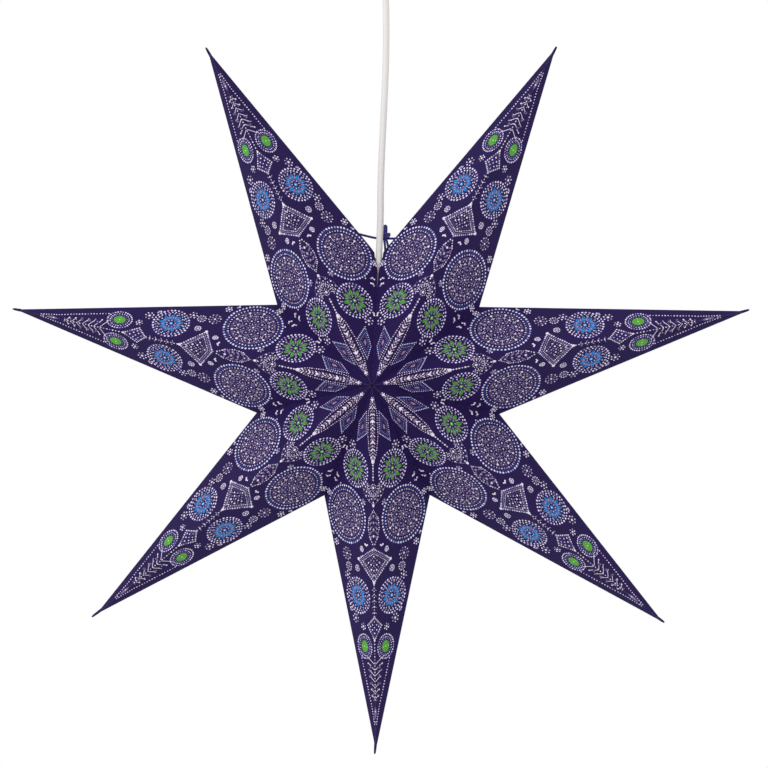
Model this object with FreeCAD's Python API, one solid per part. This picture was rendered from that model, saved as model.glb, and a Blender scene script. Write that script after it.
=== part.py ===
import FreeCAD, Part
import math
import os

from FreeCAD import Vector

# A folded paper star lantern with seven rays, hung on a mains cable from a ceiling rose.
# The origin is on the ceiling, above the lantern. +Z is up, and the star's front looks along -Y.

# Star
RAYS = 7
APEX_R = 305.5          # star centre to the apex where the four panels of a ray meet
NOTCH_R = 102.8         # star centre to the notch between two rays
TOP_OPENING = 5.2       # degrees that the fan of rays leaves free for the cable at the top
HALF_DEPTH = 72.0       # star centre to the front or back peak
CARD = 0.4              # printed card
FLANGE_W = 9.0          # glued flange along each seam
LAP_W = 8.0             # glued lap inside the back ridge of each ray
PEAK_HOLE_R = 1.2       # relief at the peaks, where fourteen folds meet
TAIL_L = 2.5            # pinched tail beyond the apex
TAIL_W = 2.2
TAIL_T = 1.7
TAIL_END_W = 1.4
TAIL_END_T = 1.0
TAIL_ROOT = 12.0        # how far the tail starts inside the apex

# Top seam, which is tied and not glued
SLIT_HALF = 0.35        # the two flanges stand this far off the middle
SLIT_DEPTH = 24.0       # how far the slit runs down from the notch
VEE_HALF = 3.5          # half width where the cable spreads the notch
VEE_DEPTH = 12.0        # how far the spread part runs down from the notch
CABLE_ROOM = 0.65       # round the cable in the notch
TIE_HOLE_R = 1.4
TIE_HOLE_INSET = 5.0    # from a ray's edge fold
TIE_HOLE_RUN_LEFT = 29.3   # along the edge fold, from the notch
TIE_HOLE_RUN_RIGHT = 22.6

# Cotton string
STRING_D = 1.9
STRING_PITCH = 2.5
STRING_GAP = 0.5
STOPPER_D = 3.4
WRAP_TURNS = 2
WRAP_R = 3.4            # middle of the string round the wrap
WRAP_X = 4.9            # wrap axis, beside and behind the cable
WRAP_Y = 6.0
WRAP_RISE = 17.5        # top of the wrap above the notch
LOOP_R = 1.7
LOOP_RISE = 23.8        # centre of the loop's round top above the notch
TAIL_DROP = 12.5        # the loose ends below the wrap
TAIL_SPREAD_LEFT = 1.4
TAIL_SPREAD_RIGHT = 1.6
TAIL_BACK = 3.6
STRING_TURN_R = 2.6     # where the string turns out of its hole
SEAM_TIE_D = 1.2
SEAM_TIE_SHARE = 0.5    # place of a seam tie along its seam
SEAM_TIE_INSET = 5.0    # from the seam's fold
SEAM_KNOT_D = 3.2

# Mains cable
CABLE_D = 5.5
CORE_D = 2.1
CORE_PITCH = 2.4        # between the middles of the two cores
BALL_CLEARANCE = 0.05   # at the pivot, where the flex bends
PIVOT_LIP = 1.0         # the upper length stops this far above the pivot
PIVOT_BELOW_GRIP = 7.0  # under the lowered canopy
# Middle of the hanging length, as distance to the right of the axis and height above the star
# centre. The first point is the pivot. The straight end in the holder is added to it.
CABLE_ROUTE = [
    (0.0, 372.0),
    (1.6, 347.0),
    (5.5, 314.0),
    (5.3, 262.0),
    (2.9, 197.0),
    (0.9, 148.0),
    (0.0, 122.0),
]
ARC_SHARE = 0.45

# Ceiling rose
CANOPY_R = 50.0
CANOPY_H = 56.0
CANOPY_WALL = 2.0
CANOPY_RIM_H = 6.0
CANOPY_TAPER = 9.0      # narrower by this near the bottom
CANOPY_ROUND_R = 14.0
CANOPY_GAP = 0.5        # under the ceiling
CANOPY_TRAVEL = 45.0
GRIP_THREAD_R = 5.0
GRIP_BODY_R = 7.5
GRIP_L = 16.0
GRIP_NOSE = 5.0         # tapered end of the grip
GRIP_NOSE_R = 4.5
GRIP_STUD = 6.0         # threaded end inside the canopy
GRIP_NUT_AF = 14.0
GRIP_NUT_T = 3.0
GRUB_R = 1.5
SLIDE_FIT = 0.1         # round the cable

# Ceiling bracket and what it carries
BRACKET_L = 84.0
BRACKET_W = 18.0
BRACKET_T = 1.5
SLOT_SPACING = 60.0
SLOT_L = 12.0           # travel of the screw along the slot
SLOT_R = 2.3
TAB_W = 22.0
TAB_H = 26.0
TAB_BEND_R = 2.0
CLAMP_W = 20.0
CLAMP_H = 8.0
CLAMP_T = 6.5
CLAMP_DROP = 19.0       # middle of the clamp under the ceiling
CLAMP_SCREW_PITCH = 13.0
SCREW_R = 1.5
SCREW_HEAD_R = 2.8
SCREW_HEAD_T = 1.8
SHEATH_TOP = 14.0       # end of the cable's sheath under the ceiling
BLOCK_X = -14.0
BLOCK_L = 16.0          # along X
BLOCK_W = 20.0
BLOCK_H = 12.0
BLOCK_CHIMNEY_R = 2.7
BLOCK_CHIMNEY_H = 2.5
POLE_PITCH = 9.0
INSERT_R = 2.6
INSERT_BORE_R = 1.4
TERMINAL_SCREW_R = 1.3
TERMINAL_SCREW_PITCH = 7.0
CORE_REACH = 4.0        # how far a core goes into its terminal

# Lampholder, as heights above the star centre
SEAT_GAP = 0.3          # the star's seam rests this far over the holder
HOLDER_TOP = 81.7
HOLDER_GRIP_R = 6.0
HOLDER_GRIP_L = 11.7
HOLDER_STUD_R = 5.0
HOLDER_STUD = 4.5
HOLDER_NECK_R = 7.0
HOLDER_R = 14.0
HOLDER_WALL = 2.0
HOLDER_CONE_H = 9.0
HOLDER_CAP_H = 24.0
HOLDER_SKIRT_H = 27.0
HOLDER_SPIGOT_H = 4.0
HOLDER_SPIGOT_WALL = 1.6
HOLDER_RIBS = 24
HOLDER_RIB_R = 0.7
HOLDER_RIB_H = 12.0
LEDGE_W = 2.2
LEDGE_T = 1.5
INSERT_H = 9.0
THREAD_SHELL_R = 7.6
THREAD_SHELL_T = 0.5
THREAD_SHELL_H = 14.5
CONTACT_L = 9.0
CONTACT_W = 4.0
CONTACT_T = 0.5
HOLDER_SCREW_X = 5.5
HOLDER_SCREW_R = 1.6
HOLDER_SCREW_H = 3.0
SHEATH_END = 61.0
FIT = 0.1

# Bulb
GLOBE_R = 22.5
GLOBE_WALL = 1.2
BULB_CAP_R = 7.0
BULB_CAP_WALL = 0.3
BULB_CAP_H = 18.0
BULB_CONE_H = 1.6
BULB_TIP_R = 2.2
BULB_TIP_H = 0.8
BULB_GLASS_R = 5.2
COLLAR_H = 22.0
COLLAR_WALL = 1.5
COLLAR_FINS = 16
COLLAR_FIN_R = 0.6
GLOBE_DROP = 13.0       # middle of the globe under the collar's lower edge
CONTACT_GAP = 0.3

OVER = 2.0              # overrun of every cut

# What follows from these sizes
opening = math.radians(TOP_OPENING)
ray_angle = (2 * math.pi - opening) / RAYS
cable_r = CABLE_D / 2
canopy_bottom = -(CANOPY_GAP + CANOPY_H)
pivot_z = canopy_bottom - GRIP_L - CANOPY_TRAVEL - PIVOT_BELOW_GRIP
star_z = pivot_z - CABLE_ROUTE[0][1]
seam_length = math.hypot(NOTCH_R, HALF_DEPTH)
seam_from_centre = NOTCH_R * HALF_DEPTH / seam_length
crotch_r = NOTCH_R * (1 - FLANGE_W / seam_from_centre)
seat_height = HOLDER_TOP + SEAT_GAP
wrap_top = NOTCH_R + WRAP_RISE
loop_top = NOTCH_R + LOOP_RISE
UP = Vector(0, 0, 1)
BACK = Vector(0, 1, 0)
RIGHT = Vector(1, 0, 0)
HERE = Vector(0, 0, 0)


def save(name, shape):
    """Check a piece and write it."""
    solids = shape.Solids
    whole = solids[0] if len(solids) == 1 else Part.makeCompound(solids)
    print(name, "solids", len(solids), "volume", round(whole.Volume, 1), "valid", whole.isValid())
    whole.exportStep("parts/" + name + ".step")


def moved(shape, x=0.0, y=0.0, z=0.0):
    copy = shape.copy()
    copy.translate(Vector(x, y, z))
    return copy


def turned(shape, degrees, axis=UP, centre=HERE):
    copy = shape.copy()
    copy.rotate(centre, axis, degrees)
    return copy


def block(x0, x1, y0, y1, z0, z1):
    return Part.makeBox(x1 - x0, y1 - y0, z1 - z0, Vector(x0, y0, z0))


def rod(radius, start, end):
    """A round bar between two points."""
    return Part.makeCylinder(radius, (end - start).Length, start, end - start)


def revolved(outline):
    """A solid of revolution about Z, from points given as radius and height."""
    points = [Vector(r, 0, z) for r, z in outline]
    face = Part.Face(Part.makePolygon(points + points[:1]))
    return face.revolve(HERE, UP, 360)


def bodied(points, faces):
    """A solid from corner points and the corner numbers of its flat faces."""
    made = []
    for corners in faces:
        ring = [points[i] for i in corners]
        made.append(Part.Face(Part.makePolygon(ring + ring[:1])))
    return Part.Solid(Part.Shell(made))


def hexagon(across_flats, height, z):
    """A hexagonal prism on the Z axis, standing on z."""
    corner = RIGHT * (across_flats / (2 * math.cos(math.pi / 6)))
    steps = [math.radians(60 * k) for k in range(6)]
    corners = [Vector(corner.x * math.cos(a), corner.x * math.sin(a), z) for a in steps]
    return Part.Face(Part.makePolygon(corners + corners[:1])).extrude(Vector(0, 0, height))


def arc_from(start, tangent, end):
    """The arc, or the line, that leaves start along tangent and reaches end."""
    chord = end - start
    along = Vector(chord).normalize()
    side = tangent - along * tangent.dot(along)
    if side.Length < 1e-6:
        return Part.LineSegment(start, end).toShape()
    turn = tangent.getAngle(chord)
    rise = chord.Length / 2 * math.tan(turn / 2)
    middle = start + chord / 2 + side.normalize() * rise
    return Part.Arc(start, middle, end).toShape()


def biarc(start, start_way, end, end_way):
    """Two arcs that leave start along start_way and reach end along end_way."""
    chord = end - start
    ways = start_way + end_way
    bend = 2 * (1 - start_way.dot(end_way))
    if bend < 1e-9:
        middle = start + chord / 2
    else:
        reach = (math.sqrt(chord.dot(ways) ** 2 + bend * chord.dot(chord)) - chord.dot(ways)) / bend
        middle = (start + end + (start_way - end_way) * reach) / 2
    first = arc_from(start, start_way, middle)
    last = arc_from(end, end_way * -1, middle)
    return [first, last]


def smooth_path(stations):
    """A wire of biarcs through points that each have a direction."""
    edges = []
    for (start, start_way), (end, end_way) in zip(stations, stations[1:]):
        straight = (end - start).getAngle(start_way) < 1e-6 and (end - start).getAngle(end_way) < 1e-6
        if straight:
            edges.append(Part.LineSegment(start, end).toShape())
        else:
            edges += biarc(start, Vector(start_way).normalize(), end, Vector(end_way).normalize())
    return Part.Wire(Part.__sortEdges__(edges))


def rounded_path(points):
    """Straight runs through points, joined by tangent arcs. Prints the radii of the arcs."""
    corners = [points[0]]
    edges = []
    radii = []
    for before, corner, after in zip(points, points[1:], points[2:]):
        half_turn = (corner - before).getAngle(after - corner) / 2
        reach = ARC_SHARE * min((corner - before).Length, (after - corner).Length)
        into = Vector(corner - before).normalize()
        out = Vector(after - corner).normalize()
        radii.append(round(reach / math.tan(half_turn), 1))
        start = corner - into * reach
        edges.append(Part.LineSegment(corners[-1], start).toShape())
        edges.append(arc_from(start, into, corner + out * reach))
        corners.append(corner + out * reach)
    edges.append(Part.LineSegment(corners[-1], points[-1]).toShape())
    print("arc radii", radii)
    return Part.Wire(edges)


def tube(path, diameter, way):
    """A round tube along a wire that starts in the direction way."""
    start = path.OrderedVertexes[0].Point
    ring = Part.Wire(Part.Circle(start, way, diameter / 2).toShape())
    shape = path.makePipeShell([ring], True, False)
    section = math.pi * diameter ** 2 / 4
    fill = shape.Volume / section / path.Length
    print("tube length", round(path.Length, 1), "volume share", round(fill, 4))
    return shape


def least_gap(path, diameter):
    """The least clear distance of a wound string from itself, measured on points along it."""
    spacing = diameter / 4
    count = int(path.Length / spacing)
    points = path.discretize(count)
    apart = 2 * math.ceil(math.pi * diameter / spacing)
    nearest = [p.distanceToPoint(q) for i, p in enumerate(points) for q in points[i + apart:]]
    return min(nearest) - diameter


# Star rays
def towards(angle, distance=1.0):
    """A point in the star's plane, at an angle clockwise from the top as seen from the front."""
    return Vector(math.sin(angle), 0, math.cos(angle)) * distance


def ray_angles(number):
    """The angles of a ray's first seam, its ridge and its last seam. The fan closes on the top seam."""
    first = 0 if number == 1 else opening / 2 + (number - 1) * ray_angle
    last = 2 * math.pi if number == RAYS else opening / 2 + number * ray_angle
    return first, opening / 2 + (number - 0.5) * ray_angle, last


def ray_corners(number):
    """A ray's apex, the front and back peaks, and the notches after and before it."""
    first, ridge, last = ray_angles(number)
    peaks = [Vector(0, -HALF_DEPTH, 0), Vector(0, HALF_DEPTH, 0)]
    return [towards(ridge, APEX_R), *peaks, towards(last, NOTCH_R), towards(first, NOTCH_R)]


def ray_wedge(number, inset_share=0.0):
    """The outer form of one ray between its two seams, drawn in towards the star centre."""
    points = [corner * (1 - inset_share) for corner in ray_corners(number)]
    return bodied(points, [(0, 1, 3), (0, 4, 1), (0, 3, 2), (0, 2, 4), (1, 2, 3), (2, 1, 4)])


def card_share(number):
    """The card's thickness as a share of the nearer panels' distance from the star centre."""
    apex, front, back, notch, before = ray_corners(number)
    sides = [(front - apex).cross(corner - apex).normalize() for corner in (notch, before)]
    return CARD / min(abs(apex.dot(side)) for side in sides)


def between_flanges(number):
    """The space between the inner faces of a ray's flanges."""
    first, ridge, last = ray_angles(number)
    corner = towards((first + last) / 2, CARD / math.sin((last - first) / 2)) - BACK * HALF_DEPTH
    ring = [corner, corner + towards(first, 2 * APEX_R), corner + towards(last, 2 * APEX_R), corner]
    return Part.Face(Part.makePolygon(ring)).extrude(BACK * (2 * HALF_DEPTH))


def ray_tail(number):
    """The pinched tail at a ray's tip."""
    rings = []
    sections = (
        (APEX_R - TAIL_ROOT, TAIL_W, TAIL_T),
        (APEX_R, TAIL_W, TAIL_T),
        (APEX_R + TAIL_L, TAIL_END_W, TAIL_END_T),
    )
    signs = ((-1, -1), (1, -1), (1, 1), (-1, 1))
    for height, width, thickness in sections:
        corners = [Vector(sx * width / 2, sy * thickness / 2, height) for sx, sy in signs]
        rings.append(Part.makePolygon(corners + corners[:1]))
    return turned(Part.makeLoft(rings, True, True), math.degrees(ray_angles(number)[1]), BACK)


def glued_lap(number, inner):
    """The strip of card glued inside a ray's back ridge."""
    apex, front, back, notch, before = ray_corners(number)
    ridge = (apex - back).normalize()
    across = notch - back
    across = (across - ridge * across.dot(ridge)).normalize()
    inward = ridge.cross(across).normalize()
    if inward.dot(front - back) < 0:
        inward = inward * -1
    start = back + inward * CARD
    end = start + ridge * (apex - back).Length
    ring = [start - across * OVER, start + across * LAP_W, end + across * LAP_W, end - across * OVER]
    return Part.Face(Part.makePolygon(ring + ring[:1])).extrude(inward * CARD).common(inner)


def notch_spread(extra):
    """The slit and vee that the cable opens in the top seam, wider by extra on each side."""
    low = NOTCH_R - SLIT_DEPTH
    vee = NOTCH_R - VEE_DEPTH
    half = [
        (SLIT_HALF + extra, low),
        (SLIT_HALF + extra, vee),
        (VEE_HALF + extra, NOTCH_R),
        (VEE_HALF + extra, NOTCH_R + SLIT_DEPTH),
    ]
    corners = [Vector(x, -HALF_DEPTH, z) for x, z in half]
    corners += [Vector(-x, -HALF_DEPTH, z) for x, z in half[::-1]]
    return Part.Face(Part.makePolygon(corners + corners[:1])).extrude(BACK * (2 * HALF_DEPTH))


def ray(number):
    """One folded card ray. The first and the last lie beside the tied top seam."""
    inner = ray_wedge(number, card_share(number)).common(between_flanges(number))
    inner = inner.cut(glued_lap(number, inner))
    outside = ray_wedge(number).fuse(ray_tail(number))
    beside_top = number in (1, RAYS)
    if beside_top:
        outside = outside.cut(notch_spread(0))
        inner = inner.cut(notch_spread(CARD))
    shape = outside.cut(inner).cut(ray_wedge(number, FLANGE_W / seam_from_centre))
    shape = shape.cut(Part.makeCylinder(PEAK_HOLE_R, 2 * HALF_DEPTH, Vector(0, -HALF_DEPTH, 0), BACK))
    if beside_top:
        clear = rod(cable_r + CABLE_ROOM, UP * (crotch_r / 2), UP * (2 * NOTCH_R))
        seat = rod(HOLDER_GRIP_R + CABLE_ROOM, UP * (seat_height / 2), UP * seat_height)
        punch = Part.makeCylinder(TIE_HOLE_R, HALF_DEPTH, tie_hole(number), BACK)
        shape = shape.cut(clear).cut(seat).cut(punch)
        for side in (-1, 1):
            shape = shape.cut(rod(SEAM_TIE_D / 2 + FIT, *seam_tie_ends(side, OVER)))
    return moved(max(shape.Solids, key=lambda s: s.Volume), z=star_z)


def tie_hole(number):
    """Where the tie string goes into the ray beside the top seam, on the ray's middle plane."""
    side = 1 if number == 1 else -1
    run = TIE_HOLE_RUN_RIGHT if number == 1 else TIE_HOLE_RUN_LEFT
    apex = towards(ray_angles(1)[1], APEX_R)
    notch = towards(0, NOTCH_R)
    edge = (apex - notch).normalize()
    inward = Vector(edge.z, 0, -edge.x)
    place = notch + edge * run + inward * TIE_HOLE_INSET
    return Vector(side * place.x, place.y, place.z)


def seam_tie_ends(side, past):
    """The two ends of the hidden string tie across the top seam, in front or at the back."""
    peak = Vector(0, side * HALF_DEPTH, 0)
    notch = Vector(0, 0, NOTCH_R)
    fold = peak + (notch - peak) * SEAM_TIE_SHARE
    inward = Vector(0, -side * NOTCH_R, -HALF_DEPTH).normalize()
    place = fold + inward * SEAM_TIE_INSET
    reach = CARD + past
    return place - RIGHT * reach, place + RIGHT * reach


def seam_tie(side):
    """A short string through both flanges of the top seam, with a knot at each end."""
    start, end = seam_tie_ends(side, FIT)
    half = (end - start).Length / 2
    knot_r = SEAM_KNOT_D / 2
    profile = [
        (SEAM_TIE_D / 2, 0),
        (SEAM_TIE_D / 2, half),
        (knot_r, half + knot_r / 2),
        (knot_r, half + knot_r * 3 / 2),
        (SEAM_TIE_D / 2, half + SEAM_KNOT_D),
        (0, half + SEAM_KNOT_D),
    ]
    outline = profile + [(r, -z) for r, z in profile[:0:-1]]
    middle = (start + end) / 2
    return moved(turned(revolved(outline), 90, BACK), y=middle.y, z=star_z + middle.z)


# Strings at the top notch
def wrap_stations():
    """The string's turns round the loop's legs, as points with directions, from the left."""
    stations = []
    quarter = math.pi / 2
    for k in range(4 * WRAP_TURNS + 1):
        angle = quarter - k * quarter
        height = wrap_top - k * STRING_PITCH / 4
        out = Vector(math.cos(angle), math.sin(angle), 0)
        way = Vector(math.sin(angle), -math.cos(angle), -STRING_PITCH / (2 * math.pi * WRAP_R))
        stations.append((Vector(WRAP_X, WRAP_Y, height) + out * WRAP_R, way.normalize()))
    return stations


def tie_string():
    """One string from a stopper knot in ray 7 to one in ray 1, wound round the loop on its way."""
    left = tie_hole(RAYS)
    right = tie_hole(1)
    behind = WRAP_Y + WRAP_R
    inside = STOPPER_D / 2
    wrap = wrap_stations()
    arrive = wrap[0][0] - (left + RIGHT * STRING_TURN_R + BACK * behind)
    leave = (right - RIGHT * STRING_TURN_R + BACK * behind) - wrap[-1][0]
    stations = [
        (left + BACK * inside, BACK),
        (left + BACK * (behind - STRING_TURN_R), BACK),
        (left + RIGHT * STRING_TURN_R + BACK * behind, arrive),
    ]
    stations += wrap
    stations += [
        (right - RIGHT * STRING_TURN_R + BACK * behind, leave),
        (right + BACK * (behind - STRING_TURN_R), BACK * -1),
        (right + BACK * inside, BACK * -1),
    ]
    path = smooth_path(stations)
    print("tie string gap to itself", round(least_gap(path, STRING_D), 2))
    shape = tube(path, STRING_D, BACK)
    for place in (left, right):
        shape = shape.fuse(Part.makeSphere(STOPPER_D / 2, place + BACK * inside))
    return moved(shape, z=star_z)


def tie_loop():
    """The loop that stands up from the wrap, with its two loose ends below."""
    leg = (STRING_D + STRING_GAP) / 2
    low = wrap_top - WRAP_TURNS * STRING_PITCH - STRING_D
    high = wrap_top + STRING_D
    down = UP * -1
    left_end = Vector(WRAP_X - leg - TAIL_SPREAD_LEFT, WRAP_Y + TAIL_BACK, low - TAIL_DROP)
    right_end = Vector(WRAP_X + leg + TAIL_SPREAD_RIGHT, WRAP_Y + TAIL_BACK, low - TAIL_DROP)
    stations = [
        (left_end, UP),
        (Vector(WRAP_X - leg, WRAP_Y, low), UP),
        (Vector(WRAP_X - leg, WRAP_Y, high), UP),
        (Vector(WRAP_X - LOOP_R, WRAP_Y, loop_top), UP),
        (Vector(WRAP_X, WRAP_Y, loop_top + LOOP_R), RIGHT),
        (Vector(WRAP_X + LOOP_R, WRAP_Y, loop_top), down),
        (Vector(WRAP_X + leg, WRAP_Y, high), down),
        (Vector(WRAP_X + leg, WRAP_Y, low), down),
        (right_end, down),
    ]
    path = smooth_path(stations)
    print("tie loop gap to itself", round(least_gap(path, STRING_D), 2))
    return moved(tube(path, STRING_D, UP), z=star_z)


# Cable
def cable_top():
    """The cable's upper length, from the clamp in the rose down to where the flex bends."""
    low = pivot_z + PIVOT_LIP
    shape = Part.makeCylinder(cable_r, -SHEATH_TOP - low, Vector(0, 0, low), UP)
    return shape.cut(Part.makeSphere(cable_r + BALL_CLEARANCE, Vector(0, 0, pivot_z)))


def cable_drop():
    """The hanging length down to the lampholder, with a round top at the pivot."""
    points = [Vector(x, 0, star_z + height) for x, height in CABLE_ROUTE]
    points.append(Vector(0, 0, star_z + SHEATH_END))
    shape = tube(rounded_path(points), CABLE_D, points[1] - points[0])
    return shape.fuse(Part.makeSphere(cable_r, points[0])).removeSplitter()


def core(start, start_way, end, end_way, reach):
    """One insulated core from the cable's end to a terminal, and straight into it by reach."""
    path = smooth_path([(start, start_way), (end, end_way), (end + end_way * reach, end_way)])
    return tube(path, CORE_D, start_way)


# Ceiling rose
def ceiling_bracket():
    """A pressed steel strap with two slots, and a tab bent down beside the cable."""
    strap = block(-BRACKET_L / 2, BRACKET_L / 2, -BRACKET_W / 2, BRACKET_W / 2, -BRACKET_T, 0)
    corner_r = BRACKET_W / 4
    upright = [e for e in strap.Edges if abs(e.tangentAt(e.FirstParameter).z) > 0.9]
    strap = strap.makeFillet(corner_r, upright)
    under = -BRACKET_T - OVER
    for side in (-1, 1):
        middle = side * SLOT_SPACING / 2
        slot = block(middle - SLOT_L / 2, middle + SLOT_L / 2, -SLOT_R, SLOT_R, under, OVER)
        for end in (-1, 1):
            x = middle + end * SLOT_L / 2
            slot = slot.fuse(rod(SLOT_R, Vector(x, 0, under), Vector(x, 0, OVER)))
        strap = strap.cut(slot)
    hole = rod(SCREW_R, Vector(BLOCK_X, 0, under), Vector(BLOCK_X, 0, OVER))
    near = cable_r + SLIDE_FIT
    tab = block(near, near + BRACKET_T, -TAB_W / 2, TAB_W / 2, -TAB_H, -BRACKET_T / 2)
    across = [e for e in tab.Edges if abs(e.tangentAt(e.FirstParameter).x) > 0.9]
    tab = tab.makeFillet(TAB_W / 6, [e for e in across if e.BoundBox.ZMax < -TAB_H / 2])
    face = near + BRACKET_T
    bend = Vector(face + TAB_BEND_R, 0, -BRACKET_T - TAB_BEND_R)
    gusset = block(face, bend.x, -TAB_W / 2, TAB_W / 2, bend.z, -BRACKET_T)
    gusset = gusset.cut(rod(TAB_BEND_R, bend - BACK * TAB_W, bend + BACK * TAB_W))
    shape = strap.fuse(tab).fuse(gusset).cut(hole)
    for side in (-1, 1):
        start = Vector(0, side * CLAMP_SCREW_PITCH / 2, -CLAMP_DROP)
        shape = shape.cut(rod(SCREW_R, start, start + RIGHT * CLAMP_T * 2))
    return shape.removeSplitter()


def cable_clamp():
    """The moulded saddle that presses the cable on the bracket's tab."""
    near = cable_r + SLIDE_FIT
    far = near - CLAMP_T - SLIDE_FIT
    low = -CLAMP_DROP - CLAMP_H / 2
    shape = block(far, near - SLIDE_FIT, -CLAMP_W / 2, CLAMP_W / 2, low, low + CLAMP_H)
    outer = [e for e in shape.Edges if abs(e.tangentAt(e.FirstParameter).z) > 0.9 and e.BoundBox.XMax < 0]
    shape = shape.makeFillet(CLAMP_H / 4, outer)
    shape = shape.cut(rod(near, Vector(0, 0, -CLAMP_DROP - CLAMP_H), Vector(0, 0, -CLAMP_DROP + CLAMP_H)))
    shape = shape.cut(block(0, near + OVER, -near, near, -CLAMP_DROP - CLAMP_H, -CLAMP_DROP + CLAMP_H))
    for side in (-1, 1):
        start = Vector(far - OVER, side * CLAMP_SCREW_PITCH / 2, -CLAMP_DROP)
        shape = shape.cut(rod(SCREW_R, start, start + RIGHT * CLAMP_T * 2))
    return shape


def slotted_screw(place, way, length):
    """A cheese head screw with its head's underside at place and its shank along way."""
    shape = rod(SCREW_R, place, place + way * length)
    head = rod(SCREW_HEAD_R, place - way * SCREW_HEAD_T, place)
    across = way.cross(Vector(way.y, way.z, way.x)).normalize()
    third = way.cross(across)
    corner = place - way * (SCREW_HEAD_T + OVER) - across * SCREW_HEAD_R - third * (SCREW_HEAD_T / 6)
    along = across * (2 * SCREW_HEAD_R)
    wide = third * (SCREW_HEAD_T / 3)
    ring = [corner, corner + along, corner + along + wide, corner + wide]
    slot = Part.Face(Part.makePolygon(ring + ring[:1])).extrude(way * (OVER + SCREW_HEAD_T / 2))
    return shape.fuse(head.cut(slot)).removeSplitter()


def clamp_screws():
    near = cable_r + SLIDE_FIT
    far = near - CLAMP_T - SLIDE_FIT
    length = near + BRACKET_T - far + BRACKET_T
    places = [Vector(far, side * CLAMP_SCREW_PITCH / 2, -CLAMP_DROP) for side in (-1, 1)]
    return Part.makeCompound([slotted_screw(place, RIGHT, length) for place in places])


def pole_places():
    return [side * POLE_PITCH / 2 for side in (-1, 1)]


def terminal_height():
    """Height of the terminals' middle, under the ceiling."""
    return -BRACKET_T - BLOCK_H / 2


def terminal_block():
    """The two-pole block under the strap: a rounded body with a chimney over each screw."""
    x0 = BLOCK_X - BLOCK_L / 2
    x1 = BLOCK_X + BLOCK_L / 2
    low = -BRACKET_T - BLOCK_H
    shape = block(x0, x1, -BLOCK_W / 2, BLOCK_W / 2, low, -BRACKET_T)
    upright = [e for e in shape.Edges if abs(e.tangentAt(e.FirstParameter).z) > 0.9]
    shape = shape.makeFillet(BLOCK_W / 10, upright)
    for y in pole_places():
        for side in (-1, 1):
            foot = Vector(BLOCK_X + side * TERMINAL_SCREW_PITCH / 2, y, low - BLOCK_CHIMNEY_H)
            shape = shape.fuse(Part.makeCylinder(BLOCK_CHIMNEY_R, BLOCK_CHIMNEY_H, foot, UP))
    height = terminal_height()
    for y in pole_places():
        shape = shape.cut(rod(INSERT_R, Vector(x0 - OVER, y, height), Vector(x1 + OVER, y, height)))
        for side in (-1, 1):
            foot = Vector(BLOCK_X + side * TERMINAL_SCREW_PITCH / 2, y, low - BLOCK_CHIMNEY_H - OVER)
            shape = shape.cut(rod(INSERT_R - INSERT_BORE_R / 2, foot, Vector(foot.x, y, height)))
    hole = Part.makeCylinder(SCREW_R, BLOCK_H + 2 * OVER, Vector(BLOCK_X, 0, low - OVER), UP)
    return shape.cut(hole).removeSplitter()


def terminal_inserts():
    """Two brass tubes that join a core to the supply."""
    length = BLOCK_L - 2 * BRACKET_T
    made = []
    for y in pole_places():
        start = Vector(BLOCK_X - length / 2, y, terminal_height())
        end = Vector(BLOCK_X + length / 2, y, terminal_height())
        insert = rod(INSERT_R, start, end).cut(rod(INSERT_BORE_R, start - RIGHT * OVER, end + RIGHT * OVER))
        for side in (-1, 1):
            foot = Vector(BLOCK_X + side * TERMINAL_SCREW_PITCH / 2, y, terminal_height() - INSERT_R - OVER)
            insert = insert.cut(Part.makeCylinder(TERMINAL_SCREW_R, INSERT_R + OVER, foot, UP))
        made.append(insert)
    return Part.makeCompound(made)


def screw_slot(radius, x, y):
    """The cutter for a slot across a screw's end, from OVER below it up to its floor at zero."""
    return block(x - radius, x + radius, y - radius / 5, y + radius / 5, -radius / 2 - OVER, 0)


def terminal_screws():
    """Four grub screws, two to a pole."""
    made = []
    for y in pole_places():
        for side in (-1, 1):
            x = BLOCK_X + side * TERMINAL_SCREW_PITCH / 2
            low = -BRACKET_T - BLOCK_H
            screw = rod(TERMINAL_SCREW_R, Vector(x, y, low), Vector(x, y, terminal_height() - CORE_D / 2))
            slot = screw_slot(TERMINAL_SCREW_R, x, y)
            made.append(screw.cut(moved(slot, z=low + TERMINAL_SCREW_R / 2)))
    return Part.makeCompound(made)


def canopy_cup():
    """The moulded cup that hides the wiring, revolved, with a rim and a rounded bottom."""
    top = -CANOPY_GAP
    low = canopy_bottom
    waist_r = CANOPY_R - CANOPY_TAPER
    swing = math.sqrt(0.5)

    def half_section(inset, floor):
        lower = [
            Vector(CANOPY_R - inset, 0, top + (OVER if inset else 0)),
            Vector(CANOPY_R - inset, 0, top - CANOPY_RIM_H),
            Vector(waist_r - inset, 0, low + CANOPY_ROUND_R),
        ]
        middle_r = waist_r - CANOPY_ROUND_R
        round_r = CANOPY_ROUND_R - inset
        bend = Vector(middle_r + round_r * swing, 0, low + CANOPY_ROUND_R - round_r * swing)
        foot = Vector(middle_r, 0, low + floor)
        edges = [Part.LineSegment(a, b).toShape() for a, b in zip(lower, lower[1:])]
        edges.append(Part.Arc(lower[-1], bend, foot).toShape())
        edges.append(Part.LineSegment(foot, Vector(0, 0, low + floor)).toShape())
        edges.append(Part.LineSegment(Vector(0, 0, low + floor), Vector(0, 0, lower[0].z)).toShape())
        edges.append(Part.LineSegment(Vector(0, 0, lower[0].z), lower[0]).toShape())
        return Part.Face(Part.Wire(edges)).revolve(HERE, UP, 360)

    shape = half_section(0, 0).cut(half_section(CANOPY_WALL, CANOPY_WALL))
    return shape.cut(Part.makeCylinder(GRIP_THREAD_R, CANOPY_H, Vector(0, 0, low - OVER), UP))


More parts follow.
